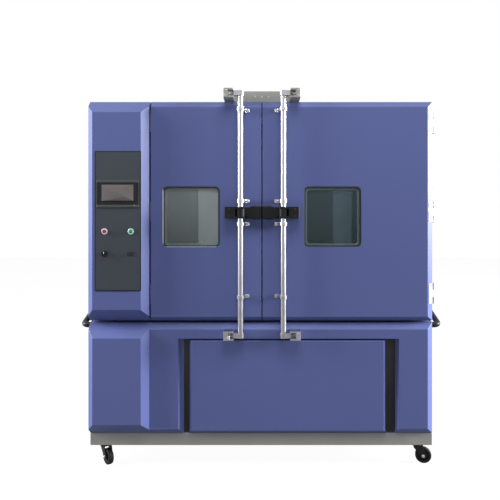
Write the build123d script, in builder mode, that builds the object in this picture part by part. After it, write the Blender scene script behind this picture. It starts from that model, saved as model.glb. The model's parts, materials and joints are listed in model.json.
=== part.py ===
from build123d import *
import os
from math import cos, radians, sin

os.makedirs("parts", exist_ok=True)

# Cabinet. The front plane is where the door bevels meet the cabinet.
cabinet_w = 1710.0
cabinet_d = 1350.0
caster_h = 110.0
plinth_h = 62.0
base_h = 552.0
seam_gap = 10.0
chamber_h = 1092.0
sheet = 2.0
fit = 0.3
running = 0.06

# Control column, standing proud at the left, and the same form below it on the base
column_w = 301.0
column_proud = 72.0
column_wall = 30.0
column_bevel_w = 32.0
column_bevel_h = 64.0

# Doors
door_depth = 28.0
door_top_bevel = 29.0
door_bottom_bevel = 22.0
door_side_bevel = 30.0
door_seam_gap = 6.0
door_edge_gap = 6.5
door_stile = 38.0
gasket_gap = 6.0
gasket_w = 22.0
gasket_lip = 10.5
plug_depth = 60.0
plug_clear = 8.0
plug_seam_clear = 12.0
pan_sheet = 1.5
flange_inset = 5.0
seam_x = 3.5

# Windows
window_w = 284.0
window_h = 300.0
window_r = 25.0
window_z = 1252.0
window_offset = 350.0
frame_wall = 8.0
frame_recess = 3.0
pane_t = 6.0
outer_pane_recess = 14.0

# Chamber walls, liner and air duct
wall_t = 100.0
liner_t = 1.5
cavity_d = 950.0
duct_d = 180.0
baffle_t = 1.5
baffle_side = 40.0
baffle_slot_h = 90.0
shelf_runner_w = 14.0
runner_t = 2.0
shelf_bar = 6.0
shelf_heights = (260.0, 560.0)
shelf_bars = 15

# Lock rods
rod_r = 13.5
rod_wall = 2.5
rod_offset = 104.5
rod_standoff = 42.0
rod_low = 74.0
rod_over = 42.0
guide_heights = (0.116, 0.442, 0.545, 0.955)
guide_h = 18.0
guide_r = 18.5
guide_foot = 42.0
foot_t = 5.0
cam_h = 25.0
cam_r = 18.0
cam_reach = 36.0
cam_inset = 2.0
cheek_gap = 2.0
keeper_near = 34.0
keeper_far = 83.0
keeper_cheek = 8.0
keeper_pocket = 26.0
keeper_front = 18.0
plate_half = 187.0
lock_plate_h = 55.0
lock_plate_t = 4.0
lock_plate_foot = 60.0

# Levers and their bearing blocks
lever_z = 1272.0
block_h = 56.0
block_far = 78.0
block_near = 20.0
block_front = 22.0
block_ear = 10.0
block_r = 6.0
hub_r = 23.0
hub_clear = 3.0
grip_start = 32.0
lever_reach = 101.5
grip_t = 20.0
grip_flare_h = 67.0
grip_flare_t = 30.0
neck_t = 16.0

# Door hinges
hinge_h = 98.0
hinge_centres = (136.0, 542.0, 987.0)
hinge_slot = 1.0
outer_knuckle_r = 7.0
outer_pin_r = 4.0
outer_leaf_t = 2.5
hidden_knuckle_r = 3.1
hidden_pin_r = 1.6
hidden_leaf_t = 1.2
hidden_leaf_w = 24.0

# Control plate and what is on it
plate_w = 216.0
plate_h = 672.0
plate_t = 3.0
plate_x = -697.0
plate_z = 1231.0
controller_w = 206.0
controller_h = 135.0
controller_z = 1364.5
controller_proud = 6.0
controller_depth = 48.0
controller_cut = 8.0
screen_w = 163.0
screen_h = 86.0
screen_t = 1.6
screen_lift = 4.0
button_x = 64.0
button_z = 1181.0
knob_z = 1072.0
bezel_r = 15.0
bezel_t = 4.0
barrel_r = 11.0
barrel_l = 34.0
cap_r = 9.4
cap_proud = 5.0
cap_l = 22.0
knob_r = 13.5
knob_reach = 20.0
spindle_r = 4.0
port_w = 36.0
port_h = 18.0

# Centre cover and the vents beside it
cover_x = (-360.0, 624.0)
cover_top = 82.0
cover_bottom = 4.0
cover_bevel = 16.0
cover_top_bevel = 4.0
opening_x = (-386.0, 669.0)
opening_top = 76.5
reveal_left = 24.5
reveal_right = 12.0
flange_lap = 24.0
vent_pitch = 52.0
vent_count = 8
vent_h = 36.0

# Side grips
grip_r = 14.0
grip_standoff = 48.0
grip_near_y = 45.0
grip_far_y = 225.0
grip_near_drop = 20.0
grip_far_rise = 24.0
grip_corner = 26.0
grip_flange_r = 22.0
grip_flange_t = 5.0

# Casters
caster_x = 795.0
caster_front = 62.0
caster_back = 75.0
caster_yaws = {"front_left": -50.0, "front_right": -15.0, "rear_left": -35.0, "rear_right": 20.0}
caster_plate = 84.0
caster_plate_t = 4.0
swivel_h = 12.0
swivel_r = 26.0
kingpin_r = 6.0
fork_top_t = 5.0
fork_leg_t = 3.0
fork_gap = 17.0
wheel_r = 40.0
wheel_w = 28.0
wheel_trail = 32.0
axle_r = 5.0
plinth_wall = 5.0
plinth_flange = 60.0
gusset = 120.0
gusset_t = 6.0

# Machine compartment
compressor_r = 95.0
compressor_h = 270.0
compressor_at = (-120.0, 620.0)
foot_plate = 230.0
condenser_w = 430.0
condenser_h = 380.0
condenser_t = 60.0
condenser_at = (330.0, 1010.0)
condenser_fins = 22
shroud_l = 60.0
shroud_r = 165.0
fan_r = 150.0
fan_hub_r = 32.0
fan_blades = 5
fan_shaft_r = 6.0
boiler_r = 80.0
boiler_l = 320.0
boiler_at = (330.0, 380.0)

# Air circulation
blower_r = 140.0
blower_w = 56.0
blower_blades = 20
blower_z = 760.0
blower_shaft_r = 10.0
shaft_hole_r = 20.0
motor_r = 78.0
motor_l = 88.0
motor_flange = 180.0
motor_flange_t = 6.0
coil_w = 900.0
coil_h = 200.0
coil_t = 110.0
coil_fins = 24
coil_z = 120.0
tube_r = 7.0
heater_z = 380.0
heater_h = 90.0

# Cable port and rear services
port_r = 25.0
sleeve_t = 3.0
sleeve_flange_r = 42.0
sleeve_flange_t = 4.0
cable_port_z = 570.0
cable_port_y = 420.0
service_w = 240.0
service_h = 120.0
service_t = 3.0
gland_r = 14.0
gland_l = 24.0
stub_r = 10.0
rear_slots = 12
rear_slot_w = 150.0
rear_slot_h = 10.0
rear_slot_pitch = 26.0

# Levels and planes that the sizes above give
half_w = cabinet_w / 2
base_z = caster_h + plinth_h
base_top = base_z + base_h
chamber_z = base_top + seam_gap
roof_z = chamber_z + chamber_h
front_reach = max(column_proud + plate_t + knob_reach, door_depth + rod_standoff + hub_r)
back_reach = service_t + gland_l
front_y = (front_reach - cabinet_d - back_reach) / 2
back_y = front_y + cabinet_d
housing_front = front_y + gasket_gap
column_right = -half_w + column_w
column_face = front_y - column_proud
door_face = front_y - door_depth
rod_y = door_face - rod_standoff
left_edge = column_right + door_edge_gap
cavity_x0 = left_edge + door_stile
core_x0 = cavity_x0 - liner_t - wall_t
cavity_x1 = half_w - wall_t - sheet - liner_t
cavity_z0 = chamber_z + wall_t + sheet + liner_t
cavity_z1 = roof_z - wall_t - sheet - liner_t
baffle_y = housing_front + cavity_d
liner_back = baffle_y + duct_d
wall_back = liner_back + liner_t + wall_t
left_free = seam_x - door_seam_gap / 2
right_free = seam_x + door_seam_gap / 2
hinge_levels = [chamber_z + height for height in hinge_centres]
guide_levels = [chamber_z + chamber_h * share for share in guide_heights]
rod_bottom = chamber_z - rod_low
rod_top = roof_z + rod_over
caster_spots = {
    "front_left": (-caster_x, front_y + caster_front),
    "front_right": (caster_x, front_y + caster_front),
    "rear_left": (-caster_x, back_y - caster_back),
    "rear_right": (caster_x, back_y - caster_back),
}


def front_plane(y):
    """A plane facing forwards at depth y, with X to the right and Z up."""
    return Plane.XZ.offset(-y)


def span_box(x, y, z, mode=Mode.ADD):
    """A box from its low and high corners along each axis."""
    with Locations(((x[0] + x[1]) / 2, (y[0] + y[1]) / 2, (z[0] + z[1]) / 2)):
        Box(x[1] - x[0], y[1] - y[0], z[1] - z[0], mode=mode)


def write(shape, name):
    """Label a finished shape and write its file."""
    shape.label = name
    export_step(shape, f"parts/{name}.step")


def save(piece, name):
    write(piece.part, name)


def bevelled_slab(x, z, y_back, depth, left=0.0, right=0.0, bottom=0.0, top=0.0):
    """A flat panel whose front edges slope back to its outline."""
    with BuildPart() as slab:
        with BuildSketch(front_plane(y_back)):
            with BuildLine():
                Polyline((x[0], z[0]), (x[1], z[0]), (x[1], z[1]), (x[0], z[1]), close=True)
            make_face()
        with BuildSketch(front_plane(y_back - depth)):
            with BuildLine():
                Polyline(
                    (x[0] + left, z[0] + bottom),
                    (x[1] - right, z[0] + bottom),
                    (x[1] - right, z[1] - top),
                    (x[0] + left, z[1] - top),
                    close=True,
                )
            make_face()
        loft(ruled=True)
    return slab.part


def column_form(z_low, z_high, y_back, shrink=0.0):
    """The proud form of the control column, cut away at its corners."""
    x0 = -half_w + shrink
    x1 = column_right - shrink
    z0 = z_low + shrink
    z1 = z_high - shrink
    face = column_face + shrink
    wall = front_y - column_wall
    with BuildPart() as form:
        with BuildSketch(Plane.XY.offset(z0)):
            with BuildLine():
                Polyline(
                    (x0, y_back),
                    (x0, wall),
                    (x0 + column_bevel_w, face),
                    (x1 - column_bevel_w, face),
                    (x1, wall),
                    (x1, y_back),
                    close=True,
                )
            make_face()
        extrude(amount=z1 - z0)
        with BuildSketch(Plane.YZ.offset(x0)):
            with BuildLine():
                Polyline(
                    (y_back, z0),
                    (front_y, z0),
                    (face, z0 + column_bevel_h),
                    (face, z1 - column_bevel_h),
                    (front_y, z1),
                    (y_back, z1),
                    close=True,
                )
            make_face()
        extrude(amount=x1 - x0, mode=Mode.INTERSECT)
    return form.part


# Plinth: a frame of box section with a gusset at each corner
with BuildPart() as plinth_hollow:
    span_box(
        (-half_w + plinth_wall, half_w - plinth_wall),
        (front_y + plinth_wall, back_y - plinth_wall),
        (caster_h + plinth_wall, base_z - plinth_wall),
    )
    span_box(
        (-half_w + plinth_flange - plinth_wall, half_w - plinth_flange + plinth_wall),
        (front_y + plinth_flange - plinth_wall, back_y - plinth_flange + plinth_wall),
        (caster_h, base_z),
        mode=Mode.SUBTRACT,
    )

with BuildPart() as plinth_frame:
    span_box((-half_w, half_w), (front_y, back_y), (caster_h, base_z))
    span_box(
        (-half_w + plinth_flange, half_w - plinth_flange),
        (front_y + plinth_flange, back_y - plinth_flange),
        (caster_h, base_z),
        mode=Mode.SUBTRACT,
    )
    add(plinth_hollow.part, mode=Mode.SUBTRACT)
    for side in (-1, 1):
        for y0, y1 in ((front_y, front_y + gusset), (back_y - gusset, back_y)):
            edge = side * half_w
            corner = side * (half_w - gusset)
            span_box((min(edge, corner), max(edge, corner)), (y0, y1), (caster_h, caster_h + gusset_t))
save(plinth_frame, "plinth_frame")


# Base housing: the machine compartment, with the column's form repeated at its left
frame_x = (column_right, half_w)
opening_front_x = (opening_x[0] - reveal_left, opening_x[1] + reveal_right)
opening_z1 = base_top - opening_top
cover_z = (base_z + cover_bottom, base_top - cover_top)


def cover_opening(grow):
    """The bay in the base's front, wider at its mouth, that the centre cover stands in."""
    with BuildPart() as bay:
        with BuildSketch(Plane.XY.offset(base_z)):
            with BuildLine():
                Polyline(
                    (opening_x[0] - grow, front_y),
                    (opening_front_x[0] - grow, door_face),
                    (opening_front_x[1] + grow, door_face),
                    (opening_x[1] + grow, front_y),
                    close=True,
                )
            make_face()
        extrude(amount=opening_z1 - base_z + grow)
    return bay.part


with BuildPart() as frame_void:
    add(
        bevelled_slab(
            (frame_x[0] - sheet, frame_x[1] - sheet),
            (base_z + sheet, base_top - sheet),
            front_y,
            door_depth - sheet,
            right=door_side_bevel,
            bottom=door_top_bevel,
            top=door_top_bevel,
        )
    )
    add(cover_opening(sheet), mode=Mode.SUBTRACT)

with BuildPart() as base_housing:
    span_box((-half_w, half_w), (front_y, back_y), (base_z, base_top))
    add(column_form(base_z, base_top, front_y + sheet))
    add(
        bevelled_slab(
            frame_x,
            (base_z, base_top),
            front_y,
            door_depth,
            right=door_side_bevel,
            bottom=door_top_bevel,
            top=door_top_bevel,
        )
    )
    span_box(
        (-half_w + sheet, half_w - sheet),
        (front_y + sheet, back_y - sheet),
        (base_z + sheet, base_top - sheet),
        mode=Mode.SUBTRACT,
    )
    add(column_form(base_z, base_top, front_y + sheet, sheet), mode=Mode.SUBTRACT)
    add(frame_void.part, mode=Mode.SUBTRACT)
    add(cover_opening(0.0), mode=Mode.SUBTRACT)
    # machine opening behind the cover
    span_box(
        (cover_x[0] + flange_lap, cover_x[1] - flange_lap),
        (front_y - sheet, front_y + 2 * sheet),
        (cover_z[0] + flange_lap, cover_z[1] - flange_lap),
        mode=Mode.SUBTRACT,
    )
    # intake slots in the two strips beside the cover
    for strip in ((opening_x[0], cover_x[0]), (cover_x[1], opening_x[1])):
        with BuildSketch(front_plane(front_y - sheet)):
            with Locations(((strip[0] + strip[1]) / 2, (cover_z[0] + cover_z[1]) / 2)):
                with GridLocations(1, vent_pitch, 1, vent_count):
                    Rectangle((strip[1] - strip[0]) * 0.5, vent_h)
        extrude(amount=-3 * sheet, mode=Mode.SUBTRACT)
    # exhaust slots at the back
    with BuildSketch(front_plane(back_y - 2 * sheet)):
        with Locations((condenser_at[0], base_z + base_h / 2)):
            with GridLocations(rear_slot_w * 1.3, rear_slot_pitch, 2, rear_slots):
                Rectangle(rear_slot_w, rear_slot_h)
    extrude(amount=-3 * sheet, mode=Mode.SUBTRACT)
save(base_housing, "base_housing")

# Centre cover: a folded pan on the flange behind it
with BuildPart() as centre_cover:
    add(
        bevelled_slab(
            cover_x,
            cover_z,
            front_y,
            door_depth,
            left=cover_bevel,
            right=cover_bevel,
            bottom=cover_bevel,
            top=cover_top_bevel,
        )
    )
    add(
        bevelled_slab(
            (cover_x[0] + sheet, cover_x[1] - sheet),
            (cover_z[0] + sheet, cover_z[1] - sheet),
            front_y,
            door_depth - sheet,
            left=cover_bevel,
            right=cover_bevel,
            bottom=cover_bevel,
            top=cover_top_bevel,
        ),
        mode=Mode.SUBTRACT,
    )
save(centre_cover, "centre_cover")

# Upper housing: the outer shell of the chamber section
port_y = housing_front + cable_port_y
port_z = chamber_z + cable_port_z
sleeve_r = port_r + sleeve_t
with BuildPart() as upper_housing:
    span_box((-half_w, half_w), (housing_front, back_y), (chamber_z, roof_z))
    span_box(
        (-half_w + sheet, half_w - sheet),
        (housing_front + sheet, back_y - sheet),
        (chamber_z + sheet, roof_z - sheet),
        mode=Mode.SUBTRACT,
    )
    span_box(
        (cavity_x0 - liner_t, cavity_x1 + liner_t),
        (housing_front - sheet, housing_front + 2 * sheet),
        (cavity_z0 - liner_t, cavity_z1 + liner_t),
        mode=Mode.SUBTRACT,
    )
    span_box(
        (-half_w + flange_lap, core_x0 - flange_lap),
        (housing_front - sheet, housing_front + 2 * sheet),
        (chamber_z + 4 * flange_lap, roof_z - 4 * flange_lap),
        mode=Mode.SUBTRACT,
    )
    with BuildSketch(Plane.YZ.offset(half_w - 2 * sheet)):
        with Locations((port_y, port_z)):
            Circle(sleeve_r)
    extrude(amount=3 * sheet, mode=Mode.SUBTRACT)
save(upper_housing, "upper_housing")

# Insulation round the stainless liner
blower_at = ((cavity_x0 + cavity_x1) / 2, chamber_z + blower_z)
with BuildPart() as insulation:
    span_box(
        (core_x0, half_w - sheet),
        (housing_front + sheet, wall_back),
        (chamber_z + sheet, roof_z - sheet),
    )
    span_box(
        (cavity_x0 - liner_t, cavity_x1 + liner_t),
        (housing_front, liner_back + liner_t),
        (cavity_z0 - liner_t, cavity_z1 + liner_t),
        mode=Mode.SUBTRACT,
    )
    with BuildSketch(front_plane(liner_back)):
        with Locations(blower_at):
            Circle(shaft_hole_r)
    extrude(amount=-2 * wall_t, mode=Mode.SUBTRACT)
    with BuildSketch(Plane.YZ.offset(cavity_x1)):
        with Locations((port_y, port_z)):
            Circle(sleeve_r)
    extrude(amount=2 * wall_t, mode=Mode.SUBTRACT)
save(insulation, "insulation")

shelf_levels = [cavity_z0 + height for height in shelf_heights]
runner_y = (housing_front + plug_depth + 3 * plug_clear, baffle_y - 2 * plug_clear)
with BuildPart() as liner:
    span_box(
        (cavity_x0 - liner_t, cavity_x1 + liner_t),
        (housing_front, liner_back + liner_t),
        (cavity_z0 - liner_t, cavity_z1 + liner_t),
    )
    span_box(
        (cavity_x0, cavity_x1),
        (housing_front - liner_t, liner_back),
        (cavity_z0, cavity_z1),
        mode=Mode.SUBTRACT,
    )
    with BuildSketch(front_plane(liner_back - liner_t)):
        with Locations(blower_at):
            Circle(shaft_hole_r)
    extrude(amount=-3 * liner_t, mode=Mode.SUBTRACT)
    with BuildSketch(Plane.YZ.offset(cavity_x1 - liner_t)):
        with Locations((port_y, port_z)):
            Circle(sleeve_r)
    extrude(amount=3 * liner_t, mode=Mode.SUBTRACT)
save(liner, "liner")

# Two shelves of square bar, and the angle strips on the side walls that carry them
shelf_x = (cavity_x0 + 2.0, cavity_x1 - 2.0)
shelf_y = (runner_y[0] + plug_clear, runner_y[1] - plug_clear)
with BuildPart() as shelves:
    for level in shelf_levels:
        top = level + shelf_bar
        span_box(shelf_x, (shelf_y[0], shelf_y[0] + shelf_bar), (level, top))
        span_box(shelf_x, (shelf_y[1] - shelf_bar, shelf_y[1]), (level, top))
        span = shelf_x[1] - shelf_x[0] - shelf_bar
        for count in range(shelf_bars):
            bar_x = shelf_x[0] + span * count / (shelf_bars - 1)
            span_box((bar_x, bar_x + shelf_bar), shelf_y, (level, top))
    for level in shelf_levels:
        for wall, inner in (
            (cavity_x0, cavity_x0 + shelf_runner_w),
            (cavity_x1, cavity_x1 - shelf_runner_w),
        ):
            step = runner_t if inner > wall else -runner_t
            with BuildSketch(front_plane(runner_y[0])):
                with BuildLine():
                    Polyline(
                        (wall, level),
                        (inner, level),
                        (inner, level - runner_t),
                        (wall + step, level - runner_t),
                        (wall + step, level - shelf_runner_w),
                        (wall, level - shelf_runner_w),
                        close=True,
                    )
                make_face()
            extrude(amount=runner_y[0] - runner_y[1])
save(shelves, "shelves")

# Air baffle: a folded sheet in front of the duct, open at its head and foot
with BuildPart() as air_baffle:
    span_box(
        (cavity_x0 + baffle_side, cavity_x1 - baffle_side),
        (baffle_y, liner_back),
        (cavity_z0 + baffle_slot_h, cavity_z1 - baffle_slot_h),
    )
    span_box(
        (cavity_x0 + baffle_side + baffle_t, cavity_x1 - baffle_side - baffle_t),
        (baffle_y + baffle_t, liner_back),
        (cavity_z0, cavity_z1),
        mode=Mode.SUBTRACT,
    )
    with BuildSketch(front_plane(baffle_y - baffle_t)):
        with Locations(blower_at):
            with PolarLocations(blower_r * 0.62, 10):
                SlotOverall(blower_r * 0.5, blower_r * 0.16)
    extrude(amount=-3 * baffle_t, mode=Mode.SUBTRACT)
save(air_baffle, "air_baffle")

# Circulation fan: a centrifugal wheel on the shaft that comes through the back wall
blower_y = liner_back - duct_d * 0.25
with BuildPart() as circulation_fan:
    with BuildSketch(front_plane(blower_y)):
        with Locations(blower_at):
            Circle(blower_r)
    extrude(amount=baffle_t * 2)
    with BuildSketch(front_plane(blower_y - blower_w)):
        with Locations(blower_at):
            Circle(blower_r)
            Circle(blower_r * 0.68, mode=Mode.SUBTRACT)
    extrude(amount=baffle_t * 2)
    with BuildSketch(front_plane(blower_y)):
        with Locations(blower_at):
            with PolarLocations(blower_r * 0.83, blower_blades):
                Rectangle(blower_r * 0.28, baffle_t * 2, rotation=50)
    extrude(amount=blower_w)
    with BuildSketch(front_plane(blower_y)):
        with Locations(blower_at):
            Circle(blower_shaft_r * 2)
    extrude(amount=blower_w * 0.6)
    with BuildSketch(front_plane(blower_y)):
        with Locations(blower_at):
            Circle(blower_shaft_r)
    extrude(amount=blower_y - wall_back - motor_l * 0.7)
save(circulation_fan, "circulation_fan")

with BuildPart() as fan_motor:
    with BuildSketch(front_plane(wall_back)):
        with Locations(blower_at):
            RectangleRounded(motor_flange, motor_flange, 12)
    extrude(amount=-motor_flange_t)
    with BuildSketch(front_plane(wall_back + motor_flange_t)):
        with Locations(blower_at):
            Circle(motor_r)
    extrude(amount=-motor_l)
    with BuildSketch(front_plane(wall_back - fit)):
        with Locations(blower_at):
            Circle(blower_shaft_r + running)
    extrude(amount=-motor_l * 0.8, mode=Mode.SUBTRACT)
save(fan_motor, "fan_motor")

# Evaporator: a finned coil between two end plates that stand on the duct's back wall
coil_x = ((cavity_x0 + cavity_x1 - coil_w) / 2, (cavity_x0 + cavity_x1 + coil_w) / 2)
coil_low = cavity_z0 + coil_z
coil_y = liner_back - coil_t - plug_clear


def bank(x, y, z, count, fin, tubes, end_plate):
    """A bank of fins on straight tubes, with deeper end plates."""
    with BuildPart() as coil:
        for index in range(count):
            is_end = index in (0, count - 1)
            thick = end_plate if is_end else fin
            at = x[0] + (x[1] - x[0] - thick) * index / (count - 1)
            reach = y[1] + (plug_clear if is_end else 0.0)
            span_box((at, at + thick), (y[0], reach), z)
        rows, columns = tubes
        with BuildSketch(Plane.YZ.offset(x[0])):
            with Locations(((y[0] + y[1]) / 2, (z[0] + z[1]) / 2)):
                with GridLocations((y[1] - y[0]) / columns, (z[1] - z[0]) / rows, columns, rows):
                    Rectangle(2 * tube_r, 2 * tube_r)
        extrude(amount=x[1] - x[0])
    return coil


evaporator = bank(
    coil_x, (coil_y, coil_y + coil_t), (coil_low, coil_low + coil_h), coil_fins, 1.2, (4, 2), 3.0
)
save(evaporator, "evaporator")
heater_low = cavity_z0 + heater_z
heater = bank(coil_x, (coil_y, coil_y + coil_t), (heater_low, heater_low + heater_h), 5, 3.0, (2, 2), 3.0)
save(heater, "heater")

# Cable port: a sleeve through the right wall, flanged at both ends
with BuildPart() as cable_port:
    with BuildSketch(Plane.YZ.offset(cavity_x1)):
        with Locations((port_y, port_z)):
            Circle(sleeve_r - fit)
    extrude(amount=half_w - cavity_x1)
    with BuildSketch(Plane.YZ.offset(half_w), Plane.YZ.offset(cavity_x1 - sleeve_flange_t)):
        with Locations((port_y, port_z)):
            Circle(sleeve_flange_r)
    extrude(amount=sleeve_flange_t)
    with BuildSketch(Plane.YZ.offset(cavity_x1 - 2 * sleeve_flange_t)):
        with Locations((port_y, port_z)):
            Circle(port_r)
    extrude(amount=half_w - cavity_x1 + 4 * sleeve_flange_t, mode=Mode.SUBTRACT)
save(cable_port, "cable_port")

# Control column: a folded cover in front of the electrical bay
controller_hole_w = controller_w - 2 * controller_cut
controller_hole_h = controller_h - 2 * controller_cut
with BuildPart() as control_column:
    add(column_form(chamber_z, roof_z, housing_front))
    add(column_form(chamber_z, roof_z, housing_front, sheet), mode=Mode.SUBTRACT)
    span_box(
        (plate_x - controller_hole_w / 2, plate_x + controller_hole_w / 2),
        (column_face - sheet, column_face + 2 * sheet),
        (controller_z - controller_hole_h / 2, controller_z + controller_hole_h / 2),
        mode=Mode.SUBTRACT,
    )
    with BuildSketch(front_plane(column_face - sheet)):
        with Locations((plate_x - button_x, button_z), (plate_x + button_x, button_z)):
            Circle(barrel_r)
        with Locations((plate_x - button_x, knob_z)):
            Circle(barrel_r)
    extrude(amount=-3 * sheet, mode=Mode.SUBTRACT)
save(control_column, "control_column")

plate_face = column_face - plate_t
with BuildPart() as control_plate:
    with BuildSketch(front_plane(column_face)):
        with Locations((plate_x, plate_z)):
            RectangleRounded(plate_w, plate_h, 3)
        with Locations((plate_x, controller_z)):
            Rectangle(controller_hole_w, controller_hole_h, mode=Mode.SUBTRACT)
        with Locations((plate_x - button_x, button_z), (plate_x + button_x, button_z)):
            Circle(barrel_r, mode=Mode.SUBTRACT)
        with Locations((plate_x - button_x, knob_z)):
            Circle(barrel_r, mode=Mode.SUBTRACT)
    extrude(amount=plate_t)
save(control_plate, "control_plate")

with BuildPart() as touch_controller:
    with BuildSketch(front_plane(plate_face)):
        with Locations((plate_x, controller_z)):
            RectangleRounded(controller_w, controller_h, 5)
    extrude(amount=controller_proud)
    chamfer(touch_controller.faces().sort_by(Axis.Y)[0].edges(), length=1.5)
    with BuildSketch(front_plane(plate_face)):
        with Locations((plate_x, controller_z)):
            Rectangle(controller_hole_w, controller_hole_h)
    extrude(amount=-controller_depth)
    # the screen lies in a shallow recess of the front
    with BuildSketch(front_plane(plate_face - controller_proud)):
        with Locations((plate_x, controller_z + screen_lift)):
            Rectangle(screen_w, screen_h)
    extrude(amount=-screen_t, mode=Mode.SUBTRACT)
save(touch_controller, "touch_controller")

# Bezels with their barrels, and a data port, on the control plate
fitting_spots = (
    (plate_x - button_x, button_z, cap_r),
    (plate_x + button_x, button_z, cap_r),
    (plate_x - button_x, knob_z, spindle_r),
)
with BuildPart() as panel_fittings:
    for at_x, at_z, bore in fitting_spots:
        with BuildSketch(front_plane(plate_face)):
            with Locations((at_x, at_z)):
                Circle(bezel_r)
        extrude(amount=bezel_t)
        with BuildSketch(front_plane(plate_face)):
            with Locations((at_x, at_z)):
                Circle(barrel_r - 0.1)
        extrude(amount=-barrel_l)
        with BuildSketch(front_plane(plate_face - 2 * bezel_t)):
            with Locations((at_x, at_z)):
                Circle(bore + running)
        extrude(amount=-2 * bezel_t - cap_l - cap_proud, mode=Mode.SUBTRACT)
    with BuildSketch(front_plane(plate_face)):
        with Locations((plate_x + button_x, knob_z)):
            RectangleRounded(port_w, port_h, 3)
            with GridLocations(11, 1, 3, 1):
                Rectangle(4, 9, mode=Mode.SUBTRACT)
    extrude(amount=3)
save(panel_fittings, "panel_fittings")

for name, at_x in (("stop_button", plate_x - button_x), ("start_button", plate_x + button_x)):
    with BuildPart() as push_button:
        with BuildSketch(front_plane(plate_face - bezel_t - cap_proud)):
            with Locations((at_x, button_z)):
                Circle(cap_r)
        extrude(amount=-cap_l)
        fillet(push_button.faces().sort_by(Axis.Y)[0].edges(), radius=2)
    save(push_button, name)

knob_face = plate_face - knob_reach
with BuildPart() as selector_knob:
    with BuildSketch(front_plane(plate_face - bezel_t - fit)):
        with Locations((plate_x - button_x, knob_z)):
            Circle(knob_r)
    extrude(amount=knob_reach - bezel_t - fit, taper=4)
    with BuildSketch(front_plane(knob_face)):
        with Locations(
            (plate_x - button_x - knob_r * 0.66, knob_z),
            (plate_x - button_x + knob_r * 0.66, knob_z),
        ):
            Rectangle(knob_r * 0.7, knob_r * 2.2)
    extrude(amount=-knob_reach * 0.45, mode=Mode.SUBTRACT)
    with BuildSketch(front_plane(plate_face - bezel_t - fit)):
        with Locations((plate_x - button_x, knob_z)):
            Circle(spindle_r)
    extrude(amount=-cap_l)
save(selector_knob, "selector_knob")

# Electrical board in the bay behind the control column
board_x = (-half_w + sheet, -half_w + sheet + 2.0)
board_y = (housing_front + 60, housing_front + 560)
board_z = (chamber_z + 160, chamber_z + 900)
with BuildPart() as electrical_board:
    span_box(board_x, board_y, board_z)
    for row in range(3):
        rail_z = board_z[0] + 140 + row * 220
        span_box((board_x[1], board_x[1] + 8), (board_y[0] + 30, board_y[1] - 30), (rail_z, rail_z + 35))
        for count in range(5):
            at_y = board_y[0] + 50 + count * 80
            depth = 60 + 25 * ((row + count) % 2)
            span_box((board_x[1] + 8, board_x[1] + 8 + depth), (at_y, at_y + 60), (rail_z - 30, rail_z + 65))
save(electrical_board, "electrical_board")


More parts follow.
